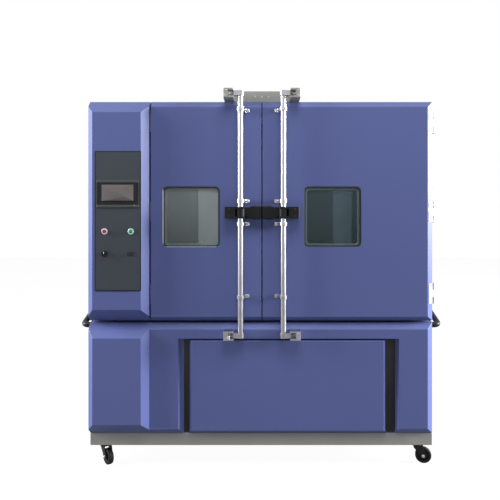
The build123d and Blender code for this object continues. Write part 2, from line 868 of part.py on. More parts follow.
def door_parts(side, x, hinge_bevel):
    """The leaf, inner pan, window and gasket of one door, from its outline along X."""
    centre = seam_x - window_offset if side == "left" else seam_x + window_offset
    z = (chamber_z, roof_z)
    face_y = front_y - door_depth
    if side == "left":
        plug_x = (cavity_x0 + plug_clear, seam_x - plug_seam_clear)
        ring_x = (plug_x[0] - gasket_w, plug_x[1] + gasket_lip)
        bevel = {"left": hinge_bevel}
    else:
        plug_x = (seam_x + plug_seam_clear, cavity_x1 - plug_clear)
        ring_x = (plug_x[0] - gasket_lip, plug_x[1] + gasket_w)
        bevel = {"right": hinge_bevel}
    plug_z = (cavity_z0 + plug_clear, cavity_z1 - plug_clear)
    plug_back = housing_front + plug_depth

    with BuildPart() as panel:
        add(bevelled_slab(x, z, front_y, door_depth, bottom=door_bottom_bevel, top=door_top_bevel, **bevel))
        add(
            bevelled_slab(
                (x[0] + sheet, x[1] - sheet),
                (z[0] + sheet, z[1] - sheet),
                front_y,
                door_depth - sheet,
                bottom=door_bottom_bevel,
                top=door_top_bevel,
                **bevel,
            ),
            mode=Mode.SUBTRACT,
        )
        with BuildSketch(front_plane(face_y - sheet)):
            with Locations((centre, window_z)):
                RectangleRounded(window_w, window_h, window_r)
        extrude(amount=-3 * sheet, mode=Mode.SUBTRACT)
    save(panel, f"{side}_door_panel")

    with BuildPart() as pan:
        span_box(
            (x[0] + flange_inset, x[1] - flange_inset),
            (front_y - pan_sheet, front_y),
            (z[0] + flange_inset, z[1] - flange_inset),
        )
        span_box(plug_x, (front_y, plug_back), plug_z)
        span_box(
            (plug_x[0] + pan_sheet, plug_x[1] - pan_sheet),
            (front_y - pan_sheet, plug_back - pan_sheet),
            (plug_z[0] + pan_sheet, plug_z[1] - pan_sheet),
            mode=Mode.SUBTRACT,
        )
        with BuildSketch(front_plane(plug_back - 2 * pan_sheet)):
            with Locations((centre, window_z)):
                RectangleRounded(window_w, window_h, window_r)
        extrude(amount=-3 * pan_sheet, mode=Mode.SUBTRACT)
    save(pan, f"{side}_door_pan")

    with BuildPart() as frame:
        with BuildSketch(front_plane(face_y + frame_recess)):
            with Locations((centre, window_z)):
                RectangleRounded(window_w - 2 * fit, window_h - 2 * fit, window_r - fit)
                RectangleRounded(
                    window_w - 2 * frame_wall,
                    window_h - 2 * frame_wall,
                    window_r - frame_wall,
                    mode=Mode.SUBTRACT,
                )
        extrude(amount=face_y + frame_recess - plug_back)
    save(frame, f"{side}_window_frame")

    with BuildPart() as glass:
        for pane_y in (face_y + outer_pane_recess, plug_back - 2 * pane_t):
            with BuildSketch(front_plane(pane_y)):
                with Locations((centre, window_z)):
                    RectangleRounded(
                        window_w - 2 * frame_wall - fit,
                        window_h - 2 * frame_wall - fit,
                        window_r - frame_wall - fit / 2,
                    )
            extrude(amount=-pane_t)
    save(glass, f"{side}_window_glass")

    with BuildPart() as gasket:
        span_box(
            ring_x,
            (front_y, housing_front - fit),
            (plug_z[0] - gasket_w, plug_z[1] + gasket_w),
        )
        span_box(plug_x, (front_y, housing_front), plug_z, mode=Mode.SUBTRACT)
    save(gasket, f"{side}_door_gasket")


door_parts("left", (left_edge, left_free), 0.0)
door_parts("right", (right_free, half_w), door_side_bevel)


def lock_parts(side, seam_way):
    """The rod, guides, bearing block and lever of one door; seam_way points to the seam."""
    rod_x = seam_x - seam_way * rod_offset

    def towards(near, far):
        ends = (rod_x + seam_way * near, rod_x + seam_way * far)
        return (min(ends), max(ends))

    # the tube is butted between two cam ends, each cut with its cam from one piece
    cams = (rod_bottom + cam_inset, rod_top - cam_inset - cam_h)
    joints = (rod_bottom, cams[0] + cam_h, cams[1], rod_top)
    lengths = []
    for low, high in zip(joints, joints[1:]):
        with BuildPart() as length:
            with BuildSketch(Plane.XY.offset(low)):
                with Locations((rod_x, rod_y)):
                    Circle(rod_r)
            extrude(amount=high - low)
            for cam_low in (at for at in cams if low <= at and at + cam_h <= high):
                with BuildSketch(Plane.XY.offset(cam_low)):
                    with Locations((rod_x, rod_y)):
                        Circle(cam_r)
                    with BuildLine():
                        Polyline(
                            (rod_x, rod_y - cam_r),
                            (rod_x - seam_way * (cam_reach - 2), rod_y - 8),
                            (rod_x - seam_way * cam_reach * 0.975, rod_y - 6),
                            (rod_x - seam_way * cam_reach * 0.975, rod_y + 6),
                            (rod_x - seam_way * (cam_reach - 2), rod_y + 8),
                            (rod_x, rod_y + cam_r),
                            close=True,
                        )
                    make_face()
                extrude(amount=cam_h)
            with BuildSketch(Plane.XY.offset(low)):
                with Locations((rod_x, rod_y)):
                    Circle(rod_r - rod_wall)
            extrude(amount=high - low, mode=Mode.SUBTRACT)
        lengths.append(length.part)
    write(Compound(lengths), f"{side}_lock_rod")

    with BuildPart() as guides:
        for level in guide_levels:
            with BuildSketch(Plane.XY.offset(level - guide_h / 2)):
                with Locations((rod_x, rod_y)):
                    Circle(guide_r)
                with BuildLine():
                    Polyline(
                        (rod_x, rod_y + guide_r * 0.8),
                        (rod_x + seam_way * guide_r * 0.9, rod_y),
                        (rod_x + seam_way * guide_foot * 0.55, door_face - foot_t),
                        (rod_x + seam_way * guide_foot, door_face - foot_t),
                        (rod_x + seam_way * guide_foot, door_face),
                        (rod_x + seam_way * guide_foot * 0.2, door_face),
                        close=True,
                    )
                make_face()
                with Locations((rod_x, rod_y)):
                    Circle(rod_r + running, mode=Mode.SUBTRACT)
            extrude(amount=guide_h)
    save(guides, f"{side}_rod_guides")

    half = block_h / 2
    with BuildPart() as block:
        span_box(
            towards(-block_far, block_near),
            (rod_y - block_front, door_face),
            (lever_z - half, lever_z + half),
        )
        fillet(block.edges().filter_by(Axis.Z).group_by(Axis.Y)[0], radius=block_r)
        # pocket for the lever's hub, open to the front and to the seam
        span_box(
            towards(-hub_r - hub_clear, block_near + block_r),
            (rod_y - 2 * block_front, rod_y + hub_r + hub_clear),
            (lever_z - half + block_ear, lever_z + half - block_ear),
            mode=Mode.SUBTRACT,
        )
        # moulded hollow at the back
        span_box(
            towards(-block_far + 4, -hub_r - hub_clear - 4),
            (rod_y - block_front + 4, door_face),
            (lever_z - half + 4, lever_z + half - 4),
            mode=Mode.SUBTRACT,
        )
        with BuildSketch(Plane.XY.offset(lever_z - block_h)):
            with Locations((rod_x, rod_y)):
                Circle(rod_r + running)
        extrude(amount=2 * block_h, mode=Mode.SUBTRACT)
    save(block, f"{side}_lever_block")

    neck_h = block_h - 2 * block_ear - 1.0
    tip = rod_x + seam_way * lever_reach
    with BuildPart() as lever:
        with BuildSketch(Plane.XY.offset(lever_z - neck_h / 2)):
            with Locations((rod_x, rod_y)):
                Circle(hub_r)
        extrude(amount=neck_h)
        span_box(
            towards(hub_r * 0.6, grip_start + 4),
            (rod_y - neck_t / 2, rod_y + neck_t / 2),
            (lever_z - neck_h / 2, lever_z + neck_h / 2),
        )
        stations = (
            (grip_start, grip_t, block_h),
            (grip_start + 14, grip_t, block_h),
            (grip_start + 32, grip_flare_t, grip_flare_h),
            (lever_reach, grip_flare_t * 0.8, grip_flare_h * 0.92),
        )
        for (at, thick, tall), (next_at, next_thick, next_tall) in zip(stations, stations[1:]):
            with BuildSketch(Plane.YZ.offset(rod_x + seam_way * at)):
                with Locations((rod_y, lever_z)):
                    RectangleRounded(thick, tall, 5)
            with BuildSketch(Plane.YZ.offset(rod_x + seam_way * next_at)):
                with Locations((rod_y, lever_z)):
                    RectangleRounded(next_thick, next_tall, 5)
            loft(ruled=True)
        with BuildSketch(Plane.XY.offset(lever_z - block_h)):
            with Locations((rod_x, rod_y)):
                Circle(rod_r + running)
        extrude(amount=2 * block_h, mode=Mode.SUBTRACT)
    save(lever, f"{side}_lever")


lock_parts("left", 1)
lock_parts("right", -1)


def keeper(rod_x, outward, y_back, z):
    """A forked keeper beside the rod, open towards the rod and the front."""
    near = rod_x + outward * keeper_near
    far = rod_x + outward * keeper_far
    deep = rod_x + outward * (keeper_near + keeper_pocket)
    behind = rod_x + outward * (keeper_near - 10)
    with BuildPart() as bracket:
        span_box((min(near, far), max(near, far)), (rod_y - keeper_front, y_back), z)
        fillet(bracket.edges().filter_by(Axis.Z).group_by(Axis.Y)[0], radius=4)
        span_box(
            (min(behind, deep), max(behind, deep)),
            (rod_y - 2 * keeper_front, rod_y + keeper_front + 4),
            (z[0] + keeper_cheek, z[1] - keeper_cheek),
            mode=Mode.SUBTRACT,
        )
    return bracket.part


# Lock plate on the roof, with its two keepers screwed to its front
plate_y = (housing_front, housing_front + lock_plate_t)
cheek_out = keeper_cheek + cheek_gap
top_keeper_z = (rod_top - cam_inset - cam_h - cheek_out, rod_top - cam_inset + cheek_out)
with BuildPart() as lock_plate:
    span_box((seam_x - plate_half, seam_x + plate_half), plate_y, (roof_z, roof_z + lock_plate_h))
    span_box(
        (seam_x - plate_half, seam_x + plate_half),
        (housing_front, housing_front + lock_plate_foot),
        (roof_z, roof_z + lock_plate_t),
    )
top_keepers = [keeper(seam_x + way * rod_offset, way, plate_y[0], top_keeper_z) for way in (-1, 1)]
write(Compound([lock_plate.part, *top_keepers]), "lock_plate")

low_keeper_z = (rod_bottom + cam_inset - cheek_out, rod_bottom + cam_inset + cam_h + cheek_out)
with BuildPart() as base_keepers:
    for way in (-1, 1):
        add(keeper(seam_x + way * rod_offset, way, door_face, low_keeper_z))
save(base_keepers, "base_keepers")


def hinge_set(axis, knuckle_r, pin_r, fixed_outline, fixed_bridge, moving_outline, moving_bridge):
    """Fixed leaves, moving leaves and pins of one door's three hinges, from their plan outlines."""
    knuckle = (hinge_h - 2 * hinge_slot) / 3
    fixed = []
    moving = []
    pins = []
    for level in hinge_levels:
        low = level - hinge_h / 2
        starts = [low + index * (knuckle + hinge_slot) for index in range(3)]
        for outline, bridge, turns, leaves in (
            (fixed_outline, fixed_bridge, (starts[0], starts[2]), fixed),
            (moving_outline, moving_bridge, (starts[1],), moving),
        ):
            with BuildPart() as leaf:
                with BuildSketch(Plane.XY.offset(low)):
                    with BuildLine():
                        Polyline(*outline, close=True)
                    make_face()
                extrude(amount=hinge_h)
                for start in turns:
                    with BuildSketch(Plane.XY.offset(start)):
                        with Locations(axis):
                            Circle(knuckle_r)
                        with BuildLine():
                            Polyline(*bridge, close=True)
                        make_face()
                    extrude(amount=knuckle)
                with BuildSketch(Plane.XY.offset(low - hinge_slot)):
                    with Locations(axis):
                        Circle(pin_r + running)
                extrude(amount=hinge_h + 2 * hinge_slot, mode=Mode.SUBTRACT)
            leaves.append(leaf.part)
        with BuildPart() as pin:
            with BuildSketch(Plane.XY.offset(low)):
                with Locations(axis):
                    Circle(pin_r)
            extrude(amount=hinge_h)
        pins.append(pin.part)
    return fixed, moving, pins


# Right hinges stand outside the cabinet: a leaf on the side wall and one on the door's bevel
right_axis = (half_w + outer_knuckle_r + 0.5, front_y + gasket_gap / 2)
bevel_l = (door_side_bevel**2 + door_depth**2) ** 0.5
along = (-door_side_bevel / bevel_l, -door_depth / bevel_l)
across = (door_depth / bevel_l, -door_side_bevel / bevel_l)


def on_bevel(run, rise):
    """A plan point on the right door's bevel, run along it and rise off it."""
    return (half_w + along[0] * run + across[0] * rise, front_y + along[1] * run + across[1] * rise)


side_leaf = [
    (half_w, housing_front + 2),
    (half_w, housing_front + 46),
    (half_w + outer_leaf_t, housing_front + 46),
    (half_w + outer_leaf_t, housing_front + 2),
]
side_bridge = [
    (half_w, housing_front + 2),
    (half_w + outer_leaf_t, housing_front + 12),
    (right_axis[0] + outer_knuckle_r * 0.8, right_axis[1] + outer_knuckle_r * 0.6),
    right_axis,
]
bevel_leaf = [on_bevel(2, 0), on_bevel(32, 0), on_bevel(32, outer_leaf_t), on_bevel(2, outer_leaf_t)]
bevel_bridge = [
    on_bevel(2, 0),
    on_bevel(12, outer_leaf_t),
    (right_axis[0] + across[0] * outer_knuckle_r, right_axis[1] + across[1] * outer_knuckle_r),
    right_axis,
]
right_fixed, right_moving, right_pins = hinge_set(
    right_axis, outer_knuckle_r, outer_pin_r, side_leaf, side_bridge, bevel_leaf, bevel_bridge
)

# Left hinges are hidden in the gap beside the control column
left_axis = (column_right + door_edge_gap / 2, door_face)
leaf_y = (door_face + hidden_knuckle_r + fit, door_face + hidden_knuckle_r + fit + hidden_leaf_w - 4)


def gap_leaf(wall, way):
    """Plan outlines of a hidden hinge's leaf on a wall of the gap, and of its bridge."""
    face = wall + way * hidden_leaf_t
    outline = [(wall, leaf_y[0]), (wall, leaf_y[1]), (face, leaf_y[1]), (face, leaf_y[0])]
    bridge = [(wall + way * 0.15, door_face), (wall + way * 0.15, leaf_y[0] + 1), (face, leaf_y[0] + 1), left_axis]
    return outline, bridge


left_fixed, left_moving, left_pins = hinge_set(
    left_axis,
    hidden_knuckle_r,
    hidden_pin_r,
    *gap_leaf(column_right, 1),
    *gap_leaf(left_edge, -1),
)
for name, pieces in (
    ("cabinet_hinge_leaves", left_fixed + right_fixed),
    ("left_door_hinge_leaves", left_moving),
    ("right_door_hinge_leaves", right_moving),
    ("hinge_pins", left_pins + right_pins),
):
    with BuildPart() as hinge_group:
        for piece in pieces:
            add(piece)
    save(hinge_group, name)

# Side grips: a round bar bent back to the wall at both ends, with a flange at each foot
with BuildPart() as side_grips:
    for way in (-1, 1):
        wall = way * half_w
        out = way * (half_w + grip_standoff)
        near = (front_y + grip_near_y, base_top - grip_near_drop)
        far = (front_y + grip_far_y, chamber_z + grip_far_rise)
        with BuildLine() as path:
            FilletPolyline(
                (wall, near[0], near[1]),
                (out, near[0], near[1]),
                (out, far[0], far[1]),
                (wall, far[0], far[1]),
                radius=grip_corner,
            )
        with BuildSketch(Plane(origin=(wall, near[0], near[1]), z_dir=(way, 0, 0))):
            Circle(grip_r)
        sweep(path=path.line)
        for foot in (near, far):
            with BuildSketch(Plane(origin=(wall, foot[0], foot[1]), z_dir=(way, 0, 0))):
                Circle(grip_flange_r)
            extrude(amount=grip_flange_t)
save(side_grips, "side_grips")

# Casters, built at their own swivel axis and then set in place
plate_low = caster_h - caster_plate_t
race_low = plate_low - swivel_h
fork_top = race_low - fit
axle_z = wheel_r
leg_in = fork_gap
leg_out = fork_gap + fork_leg_t

with BuildPart() as plate_form:
    with BuildSketch(Plane.XY.offset(plate_low)):
        RectangleRounded(caster_plate, caster_plate, 6)
    extrude(amount=caster_plate_t)
    with BuildSketch(Plane.XY.offset(race_low)):
        Circle(swivel_r)
    extrude(amount=swivel_h)
    with BuildSketch(Plane.XY.offset(race_low)):
        Circle(kingpin_r + running)
    extrude(amount=swivel_h * 0.8, mode=Mode.SUBTRACT)

with BuildPart() as fork_form:
    with BuildSketch(Plane.XY.offset(fork_top - fork_top_t)):
        Circle(swivel_r + 2)
        with Locations((wheel_trail * 0.3, 0)):
            Rectangle(wheel_trail * 1.1, 2 * leg_out)
    extrude(amount=fork_top_t)
    for way in (-1, 1):
        with BuildSketch(Plane.XZ.offset(-way * leg_in if way > 0 else leg_in)):
            with BuildLine():
                Polyline(
                    (-swivel_r * 0.6, fork_top - 1),
                    (wheel_trail * 0.85, fork_top - 1),
                    (wheel_trail + 11, axle_z + 6),
                    (wheel_trail + 9, axle_z - 8),
                    (wheel_trail - 6, axle_z - 10),
                    (-swivel_r * 0.6, fork_top - 14),
                    close=True,
                )
            make_face()
        extrude(amount=-way * fork_leg_t)
    with BuildSketch(Plane.XZ.offset(-leg_out - 4)):
        with Locations((wheel_trail, axle_z)):
            Circle(axle_r)
    extrude(amount=2 * leg_out + 8)
    with BuildSketch(Plane.XY.offset(fork_top - fork_top_t)):
        Circle(kingpin_r)
    extrude(amount=fork_top_t + swivel_h * 0.7)

with BuildPart() as wheel_form:
    with BuildSketch(Plane.XY):
        with BuildLine():
            Polyline(
                (axle_r + running, -leg_in + 0.5),
                (14, -leg_in + 0.5),
                (14, -wheel_w / 2 + 3),
                (wheel_r - 8, -wheel_w / 2 + 3),
                (wheel_r - 6, -wheel_w / 2),
                (wheel_r - 2, -wheel_w / 2),
                (wheel_r, -wheel_w / 2 + 4),
                (wheel_r, wheel_w / 2 - 4),
                (wheel_r - 2, wheel_w / 2),
                (wheel_r - 6, wheel_w / 2),
                (wheel_r - 8, wheel_w / 2 - 3),
                (14, wheel_w / 2 - 3),
                (14, leg_in - 0.5),
                (axle_r + running, leg_in - 0.5),
                close=True,
            )
        make_face()
    revolve(axis=Axis.Y)

with BuildPart() as caster_plates:
    for spot in caster_spots.values():
        with Locations((spot[0], spot[1], 0)):
            add(plate_form.part)
save(caster_plates, "caster_plates")

for corner, spot in caster_spots.items():
    yaw = caster_yaws[corner]
    wheel_at = (spot[0] + wheel_trail * cos(radians(yaw)), spot[1] + wheel_trail * sin(radians(yaw)))
    with BuildPart() as caster_fork:
        with Locations(Location((spot[0], spot[1], 0), (0, 0, yaw))):
            add(fork_form.part)
    save(caster_fork, f"{corner}_caster_fork")
    with BuildPart() as caster_wheel:
        with Locations(Location((wheel_at[0], wheel_at[1], axle_z), (0, 0, yaw))):
            add(wheel_form.part)
    save(caster_wheel, f"{corner}_caster_wheel")

# Machine compartment
floor_z = base_z + sheet
compressor_xy = (compressor_at[0], front_y + compressor_at[1])
with BuildPart() as compressor:
    with BuildSketch(Plane.XY.offset(floor_z)):
        with Locations(compressor_xy):
            RectangleRounded(foot_plate, foot_plate, 20)
    extrude(amount=6)
    with BuildSketch(Plane.XY.offset(floor_z + 6)):
        with Locations(compressor_xy):
            Circle(compressor_r)
    extrude(amount=compressor_h)
    fillet(compressor.faces().sort_by(Axis.Z)[-1].edges(), radius=compressor_r * 0.5)
save(compressor, "compressor")

condenser_x = (condenser_at[0] - condenser_w / 2, condenser_at[0] + condenser_w / 2)
condenser_y = front_y + condenser_at[1]
fan_at = (condenser_at[0], floor_z + condenser_h / 2)
fin_bank = bank(
    condenser_x,
    (condenser_y, condenser_y + condenser_t),
    (floor_z, floor_z + condenser_h),
    condenser_fins,
    1.2,
    (5, 2),
    3.0,
)
shroud_y = condenser_y + condenser_t + plug_clear
with BuildPart() as condenser:
    add(fin_bank.part)
    with BuildSketch(front_plane(shroud_y)):
        with Locations(fan_at):
            Rectangle(condenser_w, condenser_h)
            Circle(shroud_r, mode=Mode.SUBTRACT)
    extrude(amount=-3)
    with BuildSketch(front_plane(shroud_y)):
        with Locations(fan_at):
            Circle(shroud_r + 3)
            Circle(shroud_r, mode=Mode.SUBTRACT)
    extrude(amount=-shroud_l)
    # three spokes carry the fan's motor
    with BuildSketch(front_plane(shroud_y + shroud_l - 4)):
        with Locations(fan_at):
            Circle(fan_hub_r + 8)
            with PolarLocations(shroud_r / 2, 3):
                Rectangle(shroud_r, 12)
            Circle(fan_shaft_r + running, mode=Mode.SUBTRACT)
    extrude(amount=-4)
    with BuildSketch(front_plane(shroud_y + shroud_l)):
        with Locations(fan_at):
            Circle(fan_hub_r + 8)
            Circle(fan_shaft_r + running, mode=Mode.SUBTRACT)
    extrude(amount=-40)
save(condenser, "condenser")

with BuildPart() as condenser_fan:
    with BuildSketch(front_plane(shroud_y + 12)):
        with Locations(fan_at):
            Circle(fan_hub_r)
    extrude(amount=-30)
    for index in range(fan_blades):
        angle = 360 / fan_blades * index
        blade_plane = Plane(
            origin=(fan_at[0], shroud_y + 27, fan_at[1]),
            x_dir=(0, 1, 0),
            z_dir=(cos(radians(angle)), 0, sin(radians(angle))),
        )
        with BuildSketch(blade_plane.offset(fan_hub_r - 4)):
            Rectangle(26, 3, rotation=45)
        with BuildSketch(blade_plane.offset(fan_r)):
            Rectangle(34, 3, rotation=25)
        loft()
    with BuildSketch(front_plane(shroud_y + 12)):
        with Locations(fan_at):
            Circle(fan_shaft_r)
    extrude(amount=-shroud_l)
save(condenser_fan, "condenser_fan")

boiler_xy = (boiler_at[0], front_y + boiler_at[1])
with BuildPart() as humidifier:
    with BuildSketch(Plane.YZ.offset(boiler_xy[0] - boiler_l / 2)):
        with Locations((boiler_xy[1], floor_z + 30 + boiler_r)):
            Circle(boiler_r)
    extrude(amount=boiler_l)
    with BuildSketch(Plane.YZ.offset(boiler_xy[0] + boiler_l / 2)):
        with Locations((boiler_xy[1], floor_z + 30 + boiler_r)):
            Circle(boiler_r * 0.6)
    extrude(amount=18)
    for at in (-boiler_l * 0.3, boiler_l * 0.3):
        span_box(
            (boiler_xy[0] + at - 10, boiler_xy[0] + at + 10),
            (boiler_xy[1] - boiler_r * 0.7, boiler_xy[1] + boiler_r * 0.7),
            (floor_z, floor_z + 60),
        )
save(humidifier, "humidifier")

# Rear services: a plate with the mains gland, water inlet and drain
service_at = (-500.0, base_z + 200)
with BuildPart() as rear_services:
    with BuildSketch(front_plane(back_y + service_t)):
        with Locations(service_at):
            RectangleRounded(service_w, service_h, 6)
    extrude(amount=service_t)
    with BuildSketch(front_plane(back_y + service_t + gland_l)):
        with Locations((service_at[0] - 70, service_at[1])):
            RegularPolygon(gland_r, 6)
            Circle(gland_r * 0.45, mode=Mode.SUBTRACT)
        with Locations((service_at[0], service_at[1]), (service_at[0] + 70, service_at[1])):
            Circle(stub_r)
            Circle(stub_r * 0.7, mode=Mode.SUBTRACT)
    extrude(amount=gland_l)
save(rear_services, "rear_services")
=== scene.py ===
import json
from math import cos, pi, radians, sin

import bmesh
import bpy
from mathutils import Matrix, Vector

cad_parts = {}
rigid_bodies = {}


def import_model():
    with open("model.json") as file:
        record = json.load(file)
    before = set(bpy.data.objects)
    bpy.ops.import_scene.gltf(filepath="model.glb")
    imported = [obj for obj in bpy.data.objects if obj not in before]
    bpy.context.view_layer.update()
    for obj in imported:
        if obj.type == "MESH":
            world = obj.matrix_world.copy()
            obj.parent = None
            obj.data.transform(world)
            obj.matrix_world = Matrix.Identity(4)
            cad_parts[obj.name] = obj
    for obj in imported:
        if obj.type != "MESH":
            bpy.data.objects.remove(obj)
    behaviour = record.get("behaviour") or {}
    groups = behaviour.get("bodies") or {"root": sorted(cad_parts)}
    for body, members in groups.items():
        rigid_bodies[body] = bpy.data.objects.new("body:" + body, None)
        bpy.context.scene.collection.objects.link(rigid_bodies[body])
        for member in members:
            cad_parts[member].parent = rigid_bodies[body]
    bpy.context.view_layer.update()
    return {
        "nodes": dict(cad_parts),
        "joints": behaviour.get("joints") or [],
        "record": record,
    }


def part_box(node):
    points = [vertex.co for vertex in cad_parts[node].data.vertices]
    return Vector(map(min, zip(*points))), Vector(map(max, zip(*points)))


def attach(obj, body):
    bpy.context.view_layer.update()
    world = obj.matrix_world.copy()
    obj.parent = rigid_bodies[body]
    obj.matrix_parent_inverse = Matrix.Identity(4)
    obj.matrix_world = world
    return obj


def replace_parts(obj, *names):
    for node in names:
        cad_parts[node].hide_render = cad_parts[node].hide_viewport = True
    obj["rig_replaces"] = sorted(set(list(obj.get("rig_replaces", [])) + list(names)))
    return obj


bl_info = {
    "name": "Environmental Test Chamber",
    "version": (1, 0, 0),
    "blender": (4, 5, 0),
    "location": "View3D > Sidebar > Chamber",
    "description": "Dresses the solids of a two-door environmental test chamber",
    "category": "Object",
}

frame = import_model()
nodes, record = frame["nodes"], frame["record"]

# Places on the chamber, in metres; each side has the X of its rod and the way to the doors' meeting edges
front = (0, -1, 0)
sides = {"left": (-0.101, 1), "right": (0.108, -1)}
rod_y = -0.711
door_face = -0.669
housing_front = -0.635
lever_level = 1.272
guide_levels = (0.861, 1.217, 1.329, 1.777)
hinge_levels = (0.870, 1.276, 1.721)
hinge_x, hinge_y = 0.8625, -0.638
vent_strips = ((-0.3855, -0.3605), (0.6245, 0.6685))
screen_lift = 0.004

# Edges that turn further than the first angle are rounded; past the second they are shaded sharp
fold_turn, sharp_turn = radians(28.0), radians(40.0)


def tone(red, green, blue):
    """A linear colour from the 0 to 255 values that a screen shows."""
    linear = []
    for value in (red, green, blue):
        share = value / 255
        linear.append(share / 12.92 if share <= 0.04045 else ((share + 0.055) / 1.055) ** 2.4)
    return linear


def colour_setting(name, text, red, green, blue):
    """A colour that the user can change."""
    shown = tone(red, green, blue)
    return bpy.props.FloatVectorProperty(
        name=name, description=text, subtype="COLOR", size=3, min=0.0, max=1.0, default=shown
    )


def length_setting(name, text, metres):
    """A length that the user can change."""
    return bpy.props.FloatProperty(
        name=name, description=text, unit="LENGTH", min=0.0, default=metres, precision=4
    )


def power_setting(name, text, watts):
    """A lamp's power that the user can change."""
    return bpy.props.FloatProperty(name=name, description=text, unit="POWER", min=0.0, default=watts)


class ChamberColours(bpy.types.PropertyGroup):
    """Colours of the chamber's finishes."""

    powder_coat: colour_setting("Powder coat", "Blue-violet paint of housings and doors", 85, 95, 146)
    plinth_paint: colour_setting("Plinth paint", "Grey paint of the plinth and lock plate", 153, 153, 149)
    slate: colour_setting("Control plate", "Dark coat of the control plate", 58, 63, 71)
    stop_lens: colour_setting("Stop button", "Clear cap of the stop button", 122, 8, 36)
    start_lens: colour_setting("Start button", "Clear cap of the start button", 16, 112, 74)
    pane: colour_setting("Window tint", "Tint of the coated window panes", 170, 186, 182)


class ChamberSizes(bpy.types.PropertyGroup):
    """Sizes of the details that the solids leave out."""

    fold: length_setting("Sheet fold", "Radius of the folds in painted sheet", 0.0025)
    rim: length_setting("Sheet rim", "Rounding of a cut sheet's edge", 0.0004)
    coat_grain: bpy.props.FloatProperty(
        name="Coat grain", description="Height of the powder coat's texture", min=0.0, max=1.0, default=0.12
    )


class ChamberStudio(bpy.types.PropertyGroup):
    """Lamps round the chamber."""

    front_power: power_setting("Front lamp", "Power of the lamp above the camera", 84.0)
    right_power: power_setting("Right lamp", "Power of the lamp off the right wall", 2800.0)
    left_power: power_setting("Left lamp", "Power of the lamp off the left wall", 620.0)
    room_light: bpy.props.FloatProperty(
        name="Room light",
        description="Strength of the even light from all sides",
        min=0.0,
        max=2.0,
        default=0.23,
    )


class Wire:
    """A node's output that takes part in Python's arithmetic."""

    def __init__(self, finish, socket):
        self.finish = finish
        self.socket = socket

    def other(self, name):
        """Another output of the same node."""
        return Wire(self.finish, self.socket.node.outputs[name])

    def maths(self, operation, first, second=0.0):
        return self.finish.add("ShaderNodeMath", {"operation": operation}, {0: first, 1: second})

    def __add__(self, value):
        return self.maths("ADD", self, value)

    def __radd__(self, value):
        return self.maths("ADD", value, self)

    def __sub__(self, value):
        return self.maths("SUBTRACT", self, value)

    def __rsub__(self, value):
        return self.maths("SUBTRACT", value, self)

    def __mul__(self, value):
        return self.maths("MULTIPLY", self, value)

    def __rmul__(self, value):
        return self.maths("MULTIPLY", value, self)

    def __truediv__(self, value):
        return self.maths("DIVIDE", self, value)

    def __abs__(self):
        return self.maths("ABSOLUTE", self)

    def __gt__(self, value):
        return self.maths("GREATER_THAN", self, value)

    def __lt__(self, value):
        return self.maths("LESS_THAN", self, value)


class Finish:
    """A material, or a world, under construction."""

    def __init__(self, name, kind="materials"):
        self.owner = getattr(bpy.data, kind).new(name)
        self.owner.use_nodes = True
        self.tree = self.owner.node_tree
        self.tree.nodes.clear()

    def add(self, kind, settings=None, values=None, output=0):
        """A node: its settings first, then the values or links of its sockets."""
        node = self.tree.nodes.new(kind)
        for name, setting in (settings or {}).items():
            setattr(node, name, setting)
        for name, value in (values or {}).items():
            socket = node.inputs[name]
            if isinstance(value, Wire):
                self.tree.links.new(value.socket, socket)
            elif socket.type == "RGBA" and len(value) == 3:
                socket.default_value = (*value, 1.0)
            else:
                socket.default_value = value
        return Wire(self, node.outputs[output]) if node.outputs else None

    def place(self, stretch=(1.0, 1.0, 1.0)):
        """Object coordinates in metres, scaled along each axis; under 1 draws a pattern out."""
        here = self.add("ShaderNodeTexCoord", output="Object")
        return self.add("ShaderNodeMapping", None, {"Vector": here, "Scale": stretch})

    def spot(self, axis):
        """One of the Object coordinates, in metres."""
        here = self.add("ShaderNodeTexCoord", output="Object")
        return self.add("ShaderNodeSeparateXYZ", None, {0: here}, axis)

    def noise(self, scale, detail=3.0, stretch=(1.0, 1.0, 1.0)):
        """Soft clouds, or grain where the scale is high."""
        values = {"Vector": self.place(stretch), "Scale": scale, "Detail": detail}
        return self.add("ShaderNodeTexNoise", None, values)

    def cells(self, scale):
        """Round pits, each with its depth."""
        return self.add("ShaderNodeTexVoronoi", None, {"Vector": self.place(), "Scale": scale}, "Distance")

    def blend(self, mask, first, second):
        """A colour between two, by a mask."""
        return self.add("ShaderNodeMix", {"data_type": "RGBA"}, {0: mask, 6: first, 7: second}, output=2)

    def relief(self, height, strength, distance):
        """The normal of a surface with that height."""
        values = {"Height": height, "Strength": strength, "Distance": distance}
        return self.add("ShaderNodeBump", None, values)

    def coat(self, colour, roughness, metallic=0.0, normal=None, **fixed):
        """The surface shader, and the finished material."""
        values = {"Base Color": colour, "Roughness": roughness, "Metallic": metallic}
        if normal is not None:
            values["Normal"] = normal
        values.update(fixed)
        shader = self.add("ShaderNodeBsdfPrincipled", None, values)
        return self.end(shader)

    def end(self, surface):
        """The material with its surface, or background, joined to the output."""
        kind = "World" if self.owner.id_type == "WORLD" else "Material"
        self.add(f"ShaderNodeOutput{kind}", None, {"Surface": surface})
        return self.owner


def scaled(colour, share):
    """A colour made lighter or darker."""
    return [min(1.0, value * share) for value in colour]


